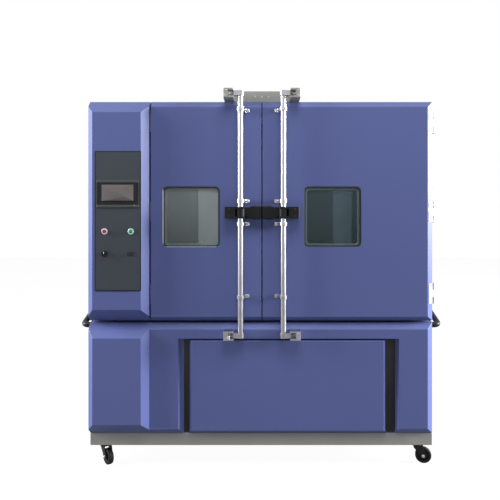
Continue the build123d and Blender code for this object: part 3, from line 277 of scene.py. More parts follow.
def powder_coat(name, colour, grain):
    """Textured powder coat: fine bumps, cloudy tone, a trace of rubbed sheen."""
    finish = Finish(name)
    clouds = finish.noise(1.4, 4.0)
    flecks = finish.noise(420.0, 2.0)
    shade = finish.blend(clouds, scaled(colour, 0.95), scaled(colour, 1.05))
    shade = finish.blend(flecks * 0.22, shade, scaled(colour, 1.35))
    fine = finish.noise(950.0, 2.0)
    coarse = finish.noise(260.0, 2.0)
    normal = finish.relief(fine * 0.6 + coarse * 0.4, grain, 0.0006)
    rubbed = finish.noise(9.0, 5.0, (1.0, 1.0, 0.4))
    return finish.coat(shade, rubbed * 0.12 + 0.36, 0.0, normal, **{"Specular IOR Level": 0.25})


def plain_paint(name, colour, roughness=0.45):
    """Smooth sprayed paint, a little cloudy."""
    finish = Finish(name)
    clouds = finish.noise(6.0, 4.0)
    shade = finish.blend(clouds, scaled(colour, 0.93), scaled(colour, 1.05))
    normal = finish.relief(finish.noise(380.0, 2.0), 0.1, 0.0005)
    return finish.coat(shade, clouds * 0.1 + (roughness - 0.05), 0.0, normal, **{"Specular IOR Level": 0.3})


def plated_metal(name, colour, roughness):
    """Bright zinc plate, a little cloudy, with faint drawn lines along its length."""
    finish = Finish(name)
    clouds = finish.noise(24.0, 4.0)
    lines = finish.noise(300.0, 2.0, (1.0, 1.0, 0.03))
    shade = finish.blend(clouds, scaled(colour, 0.86), scaled(colour, 1.06))
    normal = finish.relief(lines, 0.06, 0.0004)
    return finish.coat(shade, clouds * 0.14 + lines * 0.08 + (roughness - 0.08), 1.0, normal)


def rod_tube(name, colour):
    """Zinc-plated tube with a painted dark reflection line along the front."""
    dark_line_aside, half_dark_line = 0.004, 0.0011
    finish = Finish(name)
    across = finish.spot("X")
    painted_reflection_line = 0.0
    for axis_x, way in sides.values():
        painted_reflection_line = painted_reflection_line + (abs(across - (axis_x + dark_line_aside)) < half_dark_line)
    clouds = finish.noise(24.0, 4.0)
    lines = finish.noise(300.0, 2.0, (1.0, 1.0, 0.03))
    shade = finish.blend(clouds, scaled(colour, 0.88), scaled(colour, 1.05))
    # A painted dark reflection line runs along each rod, just aside of its axis
    shade = finish.blend(painted_reflection_line * 0.45, shade, scaled(colour, 0.3))
    return finish.coat(shade, clouds * 0.14 + lines * 0.08 + 0.24, 1.0, finish.relief(lines, 0.06, 0.0004))


def part_painted(name, mask_of, bare, paint, roughness=0.3):
    """Bare metal that is painted, or black, where the mask says so."""
    finish = Finish(name)
    clouds = finish.noise(24.0, 4.0)
    mask = mask_of(finish)
    metal = finish.blend(clouds, scaled(bare, 0.88), scaled(bare, 1.06))
    coat = finish.blend(clouds, scaled(paint, 0.92), scaled(paint, 1.08))
    normal = finish.relief(finish.noise(420.0, 2.0), 0.06, 0.0004)
    rough = clouds * 0.1 + (roughness - 0.05) + mask * 0.12
    return finish.coat(finish.blend(mask, metal, coat), rough, 1.0 - mask, normal)


def banded_case(name, case, band, middle):
    """The controller's moulding: lighter strips along its top and bottom."""
    strip = 0.013
    finish = Finish(name)
    height = finish.spot("Z")
    strips = (height < case[0].z + strip) + (height > case[1].z - strip)
    pits = finish.cells(700.0)
    clouds = finish.noise(16.0, 3.0)
    shade = finish.blend(strips, middle, band)
    shade = finish.blend(clouds * 0.3, shade, scaled(band, 0.8))
    normal = finish.relief(pits, 0.12, 0.0004)
    return finish.coat(shade, clouds * 0.12 + 0.45, 0.0, normal, **{"Specular IOR Level": 0.12})


def brushed_metal(name, colour, roughness, stretch=(0.02, 1.0, 1.0)):
    """Sheet metal with fine brushed lines along the axis of the lowest stretch value."""
    finish = Finish(name)
    lines = finish.noise(520.0, 3.0, stretch)
    clouds = finish.noise(3.0, 3.0)
    shade = finish.blend(lines, scaled(colour, 0.88), scaled(colour, 1.08))
    normal = finish.relief(lines, 0.09, 0.0004)
    return finish.coat(shade, lines * 0.16 + clouds * 0.08 + (roughness - 0.1), 1.0, normal)


def moulded(name, colour, roughness, grain=0.25, scale=700.0):
    """Moulded plastic or rubber with a spark-eroded grain."""
    finish = Finish(name)
    pits = finish.cells(scale)
    clouds = finish.noise(16.0, 3.0)
    shade = finish.blend(clouds, scaled(colour, 0.85), scaled(colour, 1.25))
    normal = finish.relief(pits, grain, 0.0004)
    return finish.coat(shade, clouds * 0.12 + (roughness - 0.06), 0.0, normal, **{"Specular IOR Level": 0.2})


def lens(name, colour):
    """A coloured cap that is lit faintly from within."""
    finish = Finish(name)
    sparkle = finish.cells(900.0)
    shade = finish.blend(sparkle, colour, scaled(colour, 1.5))
    normal = finish.relief(sparkle, 0.1, 0.0003)
    glow = {"Coat Weight": 0.6, "Emission Color": colour, "Emission Strength": 0.12}
    return finish.coat(shade, 0.16, 0.0, normal, **glow)


def highlight_edges(window):
    """A mask that leaves the left and lower edges of a window's front bare, as a painted highlight."""
    width, front_part = 0.0035, -0.650

    def mask(finish):
        left = finish.spot("X") < window[0].x + width
        low = finish.spot("Z") < window[0].z + width * 0.7
        return 1.0 - ((left + low) > 0.5) * (finish.spot("Y") < front_part)

    return mask


def pane_glass(name, tint, reflection_tone, reflection_share, window, band, ior):
    """Coated glass with a painted reflection as an uneven pale film: more towards the top and in one upright
    band.
    """
    finish = Finish(name)
    wide, tall = window[1].x - window[0].x, window[1].z - window[0].z
    across = (finish.spot("X") - window[0].x) / wide
    height = (finish.spot("Z") - window[0].z) / tall
    at, half = band
    inside = abs(across - at) < half
    smears = finish.noise(6.0, 4.0, (1.0, 1.0, 0.5))
    clear = finish.add(
        "ShaderNodeBsdfPrincipled",
        None,
        {
            "Base Color": finish.blend(smears, scaled(tint, 0.94), tint),
            "Roughness": smears * 0.03,
            "Transmission Weight": 1.0,
            "IOR": ior,
        },
    )
    # The diffuse film is a painted reflection on the glass; its share grows towards the top, in the upright
    # band and with the smears
    reflection_film = finish.add("ShaderNodeBsdfDiffuse", None, {"Color": reflection_tone})
    share = (height * 0.7 + inside * 0.8 + smears * 0.6) * reflection_share
    return finish.end(finish.add("ShaderNodeMixShader", None, {0: share, 1: clear, 2: reflection_film}))


def lit_screen(name, case):
    """The controller's glass: a grey-brown active area inside a black border."""
    half_wide, half_tall = 0.0765, 0.0385
    middle = (case[0] + case[1]) / 2
    finish = Finish(name)
    across = abs(finish.spot("X") - middle.x) < half_wide
    inside = across * (abs(finish.spot("Z") - (middle.z + screen_lift)) < half_tall)
    smears = finish.noise(14.0, 4.0)
    active = finish.blend(smears, tone(80, 74, 74), tone(106, 98, 98))
    return finish.coat(finish.blend(inside, tone(12, 12, 13), active), smears * 0.08 + 0.06)


def foam(name):
    """Yellow insulating foam with open cells."""
    finish = Finish(name)
    cells = finish.cells(260.0)
    shade = finish.blend(cells, tone(205, 188, 120), tone(232, 220, 160))
    return finish.coat(shade, cells * 0.1 + 0.8, 0.0, finish.relief(cells, 0.5, 0.002))


finishes = {}


def mix_finishes():
    """Every material, from the colours in the settings."""
    colours = bpy.context.scene.chamber_colours
    grain = bpy.context.scene.chamber_sizes.coat_grain
    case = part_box("touch_controller")
    left_window, right_window = (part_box(f"{side}_window_frame") for side in sides)
    tint, ring_black = list(colours.pane), tone(10, 11, 16)
    under_buttons = 1.12
    finishes.update(
        blue_paint=powder_coat("blue_powder_coat", list(colours.powder_coat), grain),
        grey_paint=plain_paint("grey_paint", list(colours.plinth_paint)),
        slate_plate=plain_paint("slate_plate", list(colours.slate), 0.4),
        plated_steel=plated_metal("zinc_plate", tone(192, 192, 197), 0.26),
        stainless=brushed_metal("stainless_sheet", tone(198, 200, 203), 0.3),
        black_moulding=moulded("black_moulding", tone(17, 18, 21), 0.42),
        controller_case=banded_case("controller_case", case, tone(75, 80, 80), tone(24, 24, 26)),
        bezel_metal=part_painted(
            "turned_bezel",
            lambda finish: finish.spot("Z") < under_buttons,
            tone(206, 207, 208),
            tone(18, 18, 19),
        ),
        rod_steel=rod_tube("rod_steel", tone(176, 176, 180)),
        # Hinges left of the middle sit in the left door's seam: blue paint there, darkened as painted shade
        # of the seam
        hinge_steel=part_painted(
            "hinge_steel", lambda finish: finish.spot("X") < 0.0, tone(226, 226, 232), tone(40, 44, 78)
        ),
        # The bare left and lower edges are a painted highlight, much paler on the left window than on the
        # right
        left_trim=part_painted("left_trim", highlight_edges(left_window), tone(214, 216, 218), ring_black),
        right_trim=part_painted("right_trim", highlight_edges(right_window), tone(96, 100, 116), ring_black),
        red_lens=lens("red_lens", list(colours.stop_lens)),
        green_lens=lens("green_lens", list(colours.start_lens)),
        black_knob=moulded("black_knob", tone(16, 16, 17), 0.25, 0.06),
        # The panes' pale films are painted reflection, paler and stronger on the left window than on the
        # right
        left_pane=pane_glass("left_pane", tint, tone(205, 214, 218), 0.22, left_window, (0.8, 0.18), 1.33),
        right_pane=pane_glass("right_pane", tint, tone(160, 186, 204), 0.09, right_window, (0.68, 0.16), 1.2),
        black_rubber=moulded("black_rubber", tone(20, 20, 21), 0.62, 0.3, 1100.0),
        foam=foam("insulating_foam"),
        black_steel=plain_paint("black_steel", tone(28, 28, 30), 0.4),
        caster_tyre=moulded("caster_tyre", tone(26, 26, 27), 0.55, 0.3),
        coil_aluminium=brushed_metal("coil_aluminium", tone(205, 207, 210), 0.35, (1.0, 1.0, 0.05)),
        board_plastic=moulded("board_plastic", tone(150, 152, 153), 0.5, 0.15),
        screen=lit_screen("controller_screen", case),
        white_mark=plain_paint("white_mark", tone(240, 240, 240), 0.4),
        pink_ring=lens("pink_ring", tone(250, 205, 215)),
        teal_ring=lens("teal_ring", tone(150, 230, 220)),
    )


def link(item):
    """Put an object in the scene."""
    bpy.context.scene.collection.objects.link(item)
    return item


def settled(item):
    """The object with its evaluated shape as a plain mesh."""
    graph = bpy.context.evaluated_depsgraph_get()
    mesh = bpy.data.meshes.new_from_object(item.evaluated_get(graph), depsgraph=graph)
    item.modifiers.clear()
    item.data = mesh
    return item


def finished(item, body, finish, *replaced, slot=None):
    """Give a piece its finish, and let it ride on its body."""
    item.data.materials.clear()
    item.data.materials.append(finishes[finish])
    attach(item, body)
    if replaced:
        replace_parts(item, *replaced)
    return item


def facing(way):
    """A turn that takes local X to the right, Y up and Z along the way a piece faces."""
    out = Vector(way).normalized()
    up = Vector((0, 1, 0)) if abs(out.z) > 0.9 else Vector((0, 0, 1))
    right = up.cross(out).normalized()
    return Matrix((right, out.cross(right), out)).transposed().to_4x4()


def closed_rings(rings, loop, at, way):
    """Join rings of equally many points into a closed shape, and put it in its place."""
    shape = bmesh.new()
    drawn = [[shape.verts.new(point) for point in ring] for ring in rings]
    pairs = list(zip(drawn, drawn[1:]))
    if loop:
        pairs.append((drawn[-1], drawn[0]))
    for low, high in pairs:
        for index in range(max(len(low), len(high))):
            here, ahead = index % len(low), (index + 1) % len(low)
            above, above_ahead = index % len(high), (index + 1) % len(high)
            corners = [low[here], low[ahead], high[above_ahead], high[above]]
            shape.faces.new(dict.fromkeys(corners))
    if not loop:
        for ring in (drawn[0], drawn[-1]):
            if len(ring) > 2:
                shape.faces.new(ring)
    bmesh.ops.transform(shape, matrix=Matrix.Translation(at) @ facing(way), verts=shape.verts)
    bmesh.ops.recalc_face_normals(shape, faces=shape.faces)
    return shape


def mirrored(half):
    """A profile of (radius, height) points, then its mirror image back to the start's radius."""
    return [*half, *((radius, -height) for radius, height in reversed(half))]


def turned(profile, at, way, facets=48, loop=False):
    """A turned shape from (radius, height) points; a radius of nothing is a pole."""
    rings = []
    for radius, height in profile:
        angles = [2 * pi * index / facets for index in range(facets)] if radius > 0 else [0.0]
        rings.append([(radius * cos(angle), radius * sin(angle), height) for angle in angles])
    return closed_rings(rings, loop, at, way)


def round_corners(width, height, radius):
    """The points round a rectangle with round corners."""
    steps = 6
    points = []
    for quarter, (side, end) in enumerate(((1, 1), (-1, 1), (-1, -1), (1, -1))):
        for step in range(steps + 1):
            angle = pi / 2 * (quarter + step / steps)
            x = side * (width / 2 - radius) + radius * cos(angle)
            y = end * (height / 2 - radius) + radius * sin(angle)
            points.append((x, y))
    return points


def stacked(layers, at, way, loop=False):
    """A shape through rounded rectangles; each layer is its width, height, corner radius and level."""
    rings = []
    for width, height, radius, level in layers:
        rings.append([(x, y, level) for x, y in round_corners(width, height, radius)])
    return closed_rings(rings, loop, at, way)


def plate(width, height, thick, corner, at, way, edge=0.0006):
    """A flat plate with round corners and a softened front edge."""
    return stacked(
        (
            (width, height, corner, 0.0),
            (width, height, corner, thick - edge),
            (width - edge, height - edge, corner, thick - edge * 0.3),
            (width - 2 * edge, height - 2 * edge, corner, thick),
        ),
        at,
        way,
    )


def built(name, shapes):
    """One object from several finished shapes."""
    whole = bmesh.new()
    for shape in shapes:
        part = bpy.data.meshes.new("part")
        shape.to_mesh(part)
        whole.from_mesh(part)
        bpy.data.meshes.remove(part)
        shape.free()
    mesh = bpy.data.meshes.new(name)
    whole.to_mesh(mesh)
    whole.free()
    mesh.shade_smooth()
    mesh.set_sharp_from_angle(angle=sharp_turn)
    return link(bpy.data.objects.new(name, mesh))


class Growth:
    """A Geometry Nodes tree with named inputs, which ends in real geometry with its material."""

    def __init__(self, name, inputs):
        self.tree = bpy.data.node_groups.new(name, "GeometryNodeTree")
        self.tree.interface.new_socket("Geometry", in_out="OUTPUT", socket_type="NodeSocketGeometry")
        for socket, kind in {"Geometry": "Geometry", **inputs, "Material": "Material"}.items():
            self.tree.interface.new_socket(socket, in_out="INPUT", socket_type=f"NodeSocket{kind}")
        self.given = self.tree.nodes.new("NodeGroupInput")

    def add(self, kind, settings=None, values=None, output=0):
        node = self.tree.nodes.new(kind)
        for name, setting in (settings or {}).items():
            setattr(node, name, setting)
        for name, value in (values or {}).items():
            if isinstance(value, str) and value in self.given.outputs:
                value = self.given.outputs[value]
            if isinstance(value, bpy.types.NodeSocket):
                self.tree.links.new(value, node.inputs[name])
            else:
                node.inputs[name].default_value = value
        return node.outputs[output] if node.outputs else None

    def end(self, instances):
        real = self.add("GeometryNodeRealizeInstances", None, {"Geometry": instances})
        done = self.add("GeometryNodeSetMaterial", None, {"Geometry": real, "Material": "Material"})
        self.add("NodeGroupOutput", None, {"Geometry": done})
        return self.tree


def spots_tree():
    """Repeat a unit on the points of a mesh, turned by each point's own angles."""
    growth = Growth("repeat_on_spots", {"Unit": "Object", "Size": "Float"})
    unit = growth.add("GeometryNodeObjectInfo", None, {"Object": "Unit"}, "Geometry")
    turn = growth.add("GeometryNodeInputNamedAttribute", {"data_type": "FLOAT_VECTOR"}, {"Name": "turn"})
    angles = growth.add("FunctionNodeEulerToRotation", None, {0: turn})
    values = {"Points": "Geometry", "Instance": unit, "Rotation": angles, "Scale": "Size"}
    return growth.end(growth.add("GeometryNodeInstanceOnPoints", None, values))


def on_spots(name, unit, spots, finish, size):
    """Repeat a unit on spots, each a place and the way that the unit's Z faces there."""
    mesh = bpy.data.meshes.new(name)
    mesh.from_pydata([tuple(at) for at, way in spots], [], [])
    turns = mesh.attributes.new("turn", "FLOAT_VECTOR", "POINT")
    for index, (at, way) in enumerate(spots):
        turns.data[index].vector = facing(way).to_euler()
    item = link(bpy.data.objects.new(name, mesh))
    grow = item.modifiers.new("repeat", "NODES")
    grow.node_group = bpy.data.node_groups["repeat_on_spots"]
    given = {"Unit": unit, "Size": size, "Material": finishes[finish]}
    for socket in grow.node_group.interface.items_tree:
        if socket.in_out == "INPUT" and socket.name in given:
            grow[socket.identifier] = given[socket.name]
    settled(item)
    bpy.data.objects.remove(unit)
    return item


def screw_unit(pan=True):
    """A screw head of radius 1 on a thin washer, with a recess, facing +Z."""
    rise = 0.75 if pan else 0.3
    head = turned(
        (
            (1.3, 0.0),
            (1.3, 0.18),
            (1.0, 0.2),
            (1.0, rise * 0.7),
            (0.82, rise),
            (0.5, rise),
            (0.46, rise * 0.45),
            (0.0, rise * 0.4),
        ),
        (0, 0, 0),
        (0, 0, 1),
        12,
    )
    return built("screw_unit", [head])


def merged_copy(node):
    """A CAD node's shape with its triangles joined into flat faces."""
    shape = bmesh.new()
    shape.from_mesh(nodes[node].data)
    same_spot, same_plane = 2e-6, radians(0.4)
    bmesh.ops.remove_doubles(shape, verts=shape.verts, dist=same_spot)
    bmesh.ops.dissolve_limit(
        shape, angle_limit=same_plane, verts=shape.verts, edges=shape.edges, use_dissolve_boundaries=False
    )
    return shape


def rounded(node, name, fold, rim, segments):
    """A copy of a CAD node with its folds and its cut edges rounded."""
    thinnest_fold = 0.0032
    shape = merged_copy(node)
    weights = shape.edges.layers.float.new("bevel_weight_edge")
    thin = {}
    for face in shape.faces:
        edge_sum = sum(edge.calc_length() for edge in face.edges)
        thin[face] = 2 * face.calc_area() / edge_sum < thinnest_fold
    for edge in shape.edges:
        if len(edge.link_faces) == 2 and edge.calc_face_angle(0.0) > fold_turn and edge.is_convex:
            edge[weights] = rim / fold if any(thin[face] for face in edge.link_faces) else 1.0
    mesh = bpy.data.meshes.new(name)
    shape.to_mesh(mesh)
    shape.free()
    item = link(bpy.data.objects.new(name, mesh))
    bevel = item.modifiers.new("folds", "BEVEL")
    bevel.limit_method = "WEIGHT"
    bevel.width = fold
    bevel.segments = segments
    bevel.use_clamp_overlap = True
    mesh.shade_smooth()
    mesh.set_sharp_from_angle(angle=sharp_turn)
    item.modifiers.new("even_shading", "WEIGHTED_NORMAL").keep_sharp = True
    return settled(item)


def body_of(node):
    """The body that carries a CAD node."""
    for body, members in record["behaviour"]["bodies"].items():
        if node in members:
            return body
    raise ValueError(f"no body holds {node}")


def slot_of(node):
    """The material slot of a CAD node."""
    for part in record["subparts"]:
        if part["node"] == node:
            return part["material_slot"]
    raise ValueError(f"no slot for {node}")


def dress(node, fold, rim, segments=3, finish=None):
    """Stand a rounded copy in for a CAD node; fold and rim are the radii of its folds and cut edges."""
    item = rounded(node, f"{node}_dressed", fold, rim, segments)
    return finished(item, body_of(node), finish or slot_of(node), node, slot=slot_of(node))


class CHAMBER_OT_panels(bpy.types.Operator):
    """Make the painted housings, doors and covers with folded edges"""

    bl_idname = "chamber.panels"
    bl_label = "Painted panels"

    def execute(self, context):
        sizes = context.scene.chamber_sizes
        for node in (
            "upper_housing",
            "base_housing",
            "centre_cover",
            "control_column",
            "left_door_panel",
            "right_door_panel",
            "plinth_frame",
        ):
            dress(node, sizes.fold, sizes.rim)
        tall, thick, corner, edge = 0.464, 0.0012, 0.0008, 0.0003
        screen_middle, base_front = 0.409, -0.6411
        # Solid black plates in the vent strips stand for the dark screens behind them and for the painted
        # shade inside the vents
        screens_and_shade = []
        for left, right in vent_strips:
            middle = ((left + right) / 2, base_front, screen_middle)
            screens_and_shade.append(plate(right - left, tall, thick, corner, middle, front, edge))
        finished(built("vent_screens", screens_and_shade), "cabinet", "black_steel")
        return {"FINISHED"}


class CHAMBER_OT_controls(bpy.types.Operator):
    """Make the control plate, the touch controller, its screen, the buttons and the selector"""

    bl_idname = "chamber.controls"
    bl_label = "Controls"

    def execute(self, context):
        dress("control_plate", 0.0012, 0.0005)
        dress("touch_controller", 0.0014, 0.0004)
        dress("panel_fittings", 0.0012, 0.0003, 2)
        plate_low, plate_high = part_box("control_plate")
        plate_middle = (plate_low + plate_high) / 2
        wide, tall = plate_high.x - plate_low.x, plate_high.z - plate_low.z
        edging_corner = 0.003
        edging = ((0.0, 0.0), (0.0, 0.0032), (0.0082, 0.0028), (0.0086, 0.0))
        strip = stacked(
            [(wide + grow, tall + grow, edging_corner, level) for grow, level in edging],
            (plate_middle.x, plate_high.y, plate_middle.z),
            front,
            True,
        )
        finished(built("control_plate_edging", [strip]), "cabinet", "black_rubber")
        case_low, case_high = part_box("touch_controller")
        middle = (case_low + case_high) / 2
        glass_wide, glass_tall, glass_thick, glass_back = 0.1626, 0.0856, 0.0013, 0.0015
        at = (middle.x, case_low.y + glass_back, middle.z + screen_lift)
        screen = plate(glass_wide, glass_tall, glass_thick, 0.001, at, front, 0.0003)
        finished(built("controller_screen", [screen]), "cabinet", "screen", slot="controller_case")
        dot_aside, dot_up = 0.083, 0.0105
        at = (middle.x + dot_aside, case_low.y + 0.0001, case_low.z + dot_up)
        dot = turned(((0.0011, 0.0), (0.0011, 0.0004), (0.0, 0.0007)), at, front, 16)
        finished(built("controller_pilot_light", [dot]), "cabinet", "white_mark", slot="controller_case")
        bezel_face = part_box("panel_fittings")[0].y + 0.0001
        for node, finish, ring in (
            ("stop_button", "red_lens", "pink_ring"),
            ("start_button", "green_lens", "teal_ring"),
        ):
            low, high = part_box(node)
            centre = (low + high) / 2
            radius, rise = (high.x - low.x) / 2, high.y - low.y
            crown = ((1.0, 0.0022), (0.97, 0.0014), (0.9, 0.0008), (0.66, 0.0005), (0.35, 0.0002), (0.0, 0.0))
            profile = [(radius, 0.0), *((radius * share, rise - drop) for share, drop in crown)]
            cap = turned(profile, (centre.x, high.y, centre.z), front)
            finished(built(f"{node}_cap", [cap]), node, finish, node)
            profile = ((0.0099, 0.0), (0.0124, 0.0), (0.0124, 0.0006), (0.0112, 0.0009), (0.0099, 0.0006))
            halo = turned(profile, (centre.x, bezel_face, centre.z), front, loop=True)
            finished(built(f"{node}_halo", [halo]), "cabinet", ring, slot="bezel_metal")
        dress("selector_knob", 0.0012, 0.0004)
        low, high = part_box("selector_knob")
        knob_face, mark_up = low.y + 0.0006, 0.005
        for vert in bpy.data.objects["selector_knob_dressed"].data.vertices:
            vert.co.y = max(vert.co.y, knob_face)
        at = ((low.x + high.x) / 2, knob_face + 0.0001, (low.z + high.z) / 2 + mark_up)
        mark = plate(0.0018, 0.011, 0.0005, 0.0006, at, front, 0.0002)
        finished(built("selector_pointer", [mark]), "selector_knob", "white_mark", slot="black_knob")
        return {"FINISHED"}


class CHAMBER_OT_locks(bpy.types.Operator):
    """Make the lock rods, their guides, keepers and levers, with their screws"""

    bl_idname = "chamber.locks"
    bl_label = "Rod locks"

    def execute(self, context):
        for node in ("lock_plate", "base_keepers"):
            dress(node, 0.0022, 0.0005)
        foot_aside, bolt_aside, keeper_aside, arm_aside = 0.0335, 0.056, 0.072, 0.043
        foot_face, block_face, keeper_face = -0.674, -0.7325, -0.729
        keeper_levels, bolt_lifts = (0.661, 0.688, 1.8403, 1.8662), (-0.017, 0.017)
        plate_screw_level, plate_screw_places = 1.853, (-0.03, 0.0035, 0.037)
        plug = ((0.0109, -0.02), (0.0109, 0.0), (0.013, 0.0))
        plug = (*plug, (0.0128, 0.0012), (0.0095, 0.0019), (0.0, 0.002))
        keeper_spots = []
        for side, (axis_x, way) in sides.items():
            door, rod = f"{side}_door", f"{side}_rod"
            dress(f"{side}_rod_guides", 0.0014, 0.0005, 2)
            dress(f"{side}_lever_block", 0.003, 0.0006)
            dress(f"{side}_lever", 0.0035, 0.0008, 4)
            dress(f"{side}_lock_rod", 0.0014, 0.0006, finish="rod_steel")
            low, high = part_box(f"{side}_lock_rod")
            plugs = [
                turned(plug, (axis_x, rod_y, level - turn * 0.0021), (0, 0, turn), 32)
                for level, turn in ((high.z, 1), (low.z, -1))
            ]
            finished(built(f"{side}_rod_plugs", plugs), rod, "black_moulding")
            spots = [((axis_x + way * foot_aside, foot_face, level), front) for level in guide_levels]
            screws = on_spots(f"{side}_guide_screws", screw_unit(), spots, "plated_steel", 0.0042)
            finished(screws, door, "plated_steel")
            bolt_x = axis_x - way * bolt_aside
            spots = [((bolt_x, block_face, lever_level + lift), front) for lift in bolt_lifts]
            bolts = on_spots(f"{side}_block_screws", screw_unit(False), spots, "black_steel", 0.005)
            finished(bolts, door, "black_steel", slot="black_moulding")
            at = (axis_x + way * arm_aside, door_face, lever_level)
            backing = plate(0.05, 0.056, 0.003, 0.002, at, front)
            finished(built(f"{side}_lever_backing", [backing]), door, "black_moulding")
            for level in keeper_levels:
                keeper_spots.append(((axis_x - way * keeper_aside, keeper_face, level), front))
        for x in plate_screw_places:
            keeper_spots.append(((x, housing_front, plate_screw_level), front))
        screws = on_spots("keeper_screws", screw_unit(), keeper_spots, "plated_steel", 0.0038)
        finished(screws, "cabinet", "plated_steel")
        return {"FINISHED"}


class CHAMBER_OT_windows(bpy.types.Operator):
    """Make the window frames, panes and the spacers between the panes"""

    bl_idname = "chamber.windows"
    bl_label = "Windows"

    def execute(self, context):
        corner, depth, lip, spacer_back = 0.0168, 0.06, 0.018, 0.0665
        for side in sides:
            dress(f"{side}_window_frame", 0.0018, 0.0005, finish=f"{side}_trim")
            dress(f"{side}_window_glass", 0.0008, 0.0004, 1, f"{side}_pane")
            dress(f"{side}_door_pan", 0.002, 0.0004)
            dress(f"{side}_door_gasket", 0.0018, 0.0006)
            low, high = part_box(f"{side}_window_glass")
            centre = (low + high) / 2
            wide, tall = high.x - low.x, high.z - low.z
            layers = [
                (wide - inset, tall - inset, corner, level)
                for inset, level in ((0.0, 0.0), (0.0, depth), (lip, depth), (lip, 0.0))
            ]
            spacer = stacked(layers, (centre.x, low.y + spacer_back, centre.z), front, True)
            spacer = built(f"{side}_pane_spacer", [spacer])
            finished(spacer, f"{side}_door", "coil_aluminium", slot="stainless")
        return {"FINISHED"}


class CHAMBER_OT_hinges(bpy.types.Operator):
    """Make the hinges, with their pin heads and screws"""

    bl_idname = "chamber.hinges"
    bl_label = "Hinges"

    def execute(self, context):
        for node in ("cabinet_hinge_leaves", "left_door_hinge_leaves", "right_door_hinge_leaves"):
            dress(node, 0.0008, 0.0004, 2, "hinge_steel")
        head = ((0.004, -0.001), (0.0062, -0.0005), (0.0062, 0.0012), (0.0048, 0.0026), (0.0, 0.0031))
        outwards = Vector((0.028, -0.030, 0.0)).normalized()
        inwards = Vector((-0.030, -0.028, 0.0)).normalized()
        pin_half, leaf_x, leaf_y, edge_x, edge_y = 0.049, 0.8575, -0.603, 0.855, -0.641
        screw_lifts, screw_in, screw_out = (-0.033, 0.0, 0.033), 0.022, 0.0025
        heads, leaf_spots, door_spots = [], [], []
        for level in hinge_levels:
            for turn in (-1, 1):
                heads.append(turned(head, (hinge_x, hinge_y, level + turn * pin_half), (0, 0, turn), 24))
            for lift in screw_lifts:
                leaf_spots.append(((leaf_x, leaf_y, level + lift), (1, 0, 0)))
                edge = Vector((edge_x, edge_y, level + lift))
                door_spots.append((edge + inwards * screw_in + outwards * screw_out, outwards))
        finished(built("hinge_pin_heads", heads), "cabinet", "plated_steel")
        for name, spots, body in (
            ("hinge_leaf_screws", leaf_spots, "cabinet"),
            ("hinge_door_screws", door_spots, "right_door"),
        ):
            screws = on_spots(name, screw_unit(False), spots, "plated_steel", 0.0036)
            finished(screws, body, "plated_steel")
        return {"FINISHED"}


class CHAMBER_OT_grips(bpy.types.Operator):
    """Make the side grips with their foot screws"""

    bl_idname = "chamber.grips"
    bl_label = "Side grips"

    def execute(self, context):
        dress("side_grips", 0.0016, 0.0006)
        reach, first_angle, foot_x = 0.0178, 0.9, 0.86
        feet = ((-0.596, 0.704), (-0.416, 0.758))
        spots = []
        for way in (-1, 1):
            for y, z in feet:
                for index in range(3):
                    angle = first_angle + 2 * index * pi / 3
                    at = (way * foot_x, y + reach * cos(angle), z + reach * sin(angle))
                    spots.append((at, (way, 0, 0)))
        screws = on_spots("grip_screws", screw_unit(), spots, "black_steel", 0.0024)
        finished(screws, "cabinet", "black_steel")
        return {"FINISHED"}


class CHAMBER_OT_casters(bpy.types.Operator):
    """Make the casters' plates, forks, tyres, hubs and bolts"""

    bl_idname = "chamber.casters"
    bl_label = "Casters"

    def execute(self, context):
        dress("caster_plates", 0.0012, 0.0005)
        tread = ((0.0255, -0.0125), (0.0335, -0.0132), (0.0365, -0.0126), (0.0388, -0.0108))
        tread = mirrored((*tread, (0.0398, -0.0078), (0.04, -0.004)))
        web = ((0.00506, -0.0165), (0.0125, -0.0165), (0.0135, -0.0155), (0.0138, -0.0095))
        web = mirrored((*web, (0.0235, -0.0085), (0.0256, -0.0118)))
        nut = ((0.0084, 0.0), (0.0084, 0.0012), (0.0066, 0.0013))
        nut = (*nut, (0.0066, 0.0052), (0.0052, 0.0064), (0.0, 0.0066))
        plate_bottom, bolt_reach, cheek_reach = 0.106, (-0.031, 0.031), 0.0198
        joints = {row["name"]: row for row in frame["joints"]}
        bolt_spots = []
        for corner in ("front_left", "front_right", "rear_left", "rear_right"):
            wheel = f"{corner}_wheel"
            dress(f"{corner}_caster_fork", 0.0012, 0.0005)
            centre = Vector(joints[f"{corner}_roll"]["pos_m"])
            way = Vector(joints[f"{corner}_roll"]["axis"]).normalized()
            swivel = joints[f"{corner}_swivel"]["pos_m"]
            tyre = built(f"{corner}_tyre", [turned(tread, centre, way, 64, True)])
            finished(tyre, wheel, "caster_tyre", f"{corner}_caster_wheel")
            hub = built(f"{corner}_hub", [turned(web, centre, way, loop=True)])
            finished(hub, wheel, "black_moulding", slot="caster_tyre")
            nuts = [
                turned(nut, centre + end * cheek_reach, end, facets)
                for end, facets in ((way, 6), (-way, 24))
            ]
            nuts = built(f"{corner}_axle_nuts", nuts)
            finished(nuts, f"{corner}_fork", "plated_steel", slot="black_steel")
            for aside in bolt_reach:
                for along in bolt_reach:
                    bolt_spots.append(((swivel[0] + aside, swivel[1] + along, plate_bottom), (0, 0, -1)))
        bolts = on_spots("caster_bolts", screw_unit(), bolt_spots, "plated_steel", 0.0052)
        finished(bolts, "cabinet", "plated_steel", slot="black_steel")
        return {"FINISHED"}


class CHAMBER_OT_fittings(bpy.types.Operator):
    """Give the solids that stay their finishes"""

    bl_idname = "chamber.fittings"
    bl_label = "Fittings"

    def execute(self, context):
        taken = {row for item in bpy.data.objects for row in item.get("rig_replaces", [])}
        for node, item in nodes.items():
            if node not in taken:
                finish = "hinge_steel" if node == "hinge_pins" else slot_of(node)
                item.data.materials.clear()
                item.data.materials.append(finishes[finish])
        return {"FINISHED"}


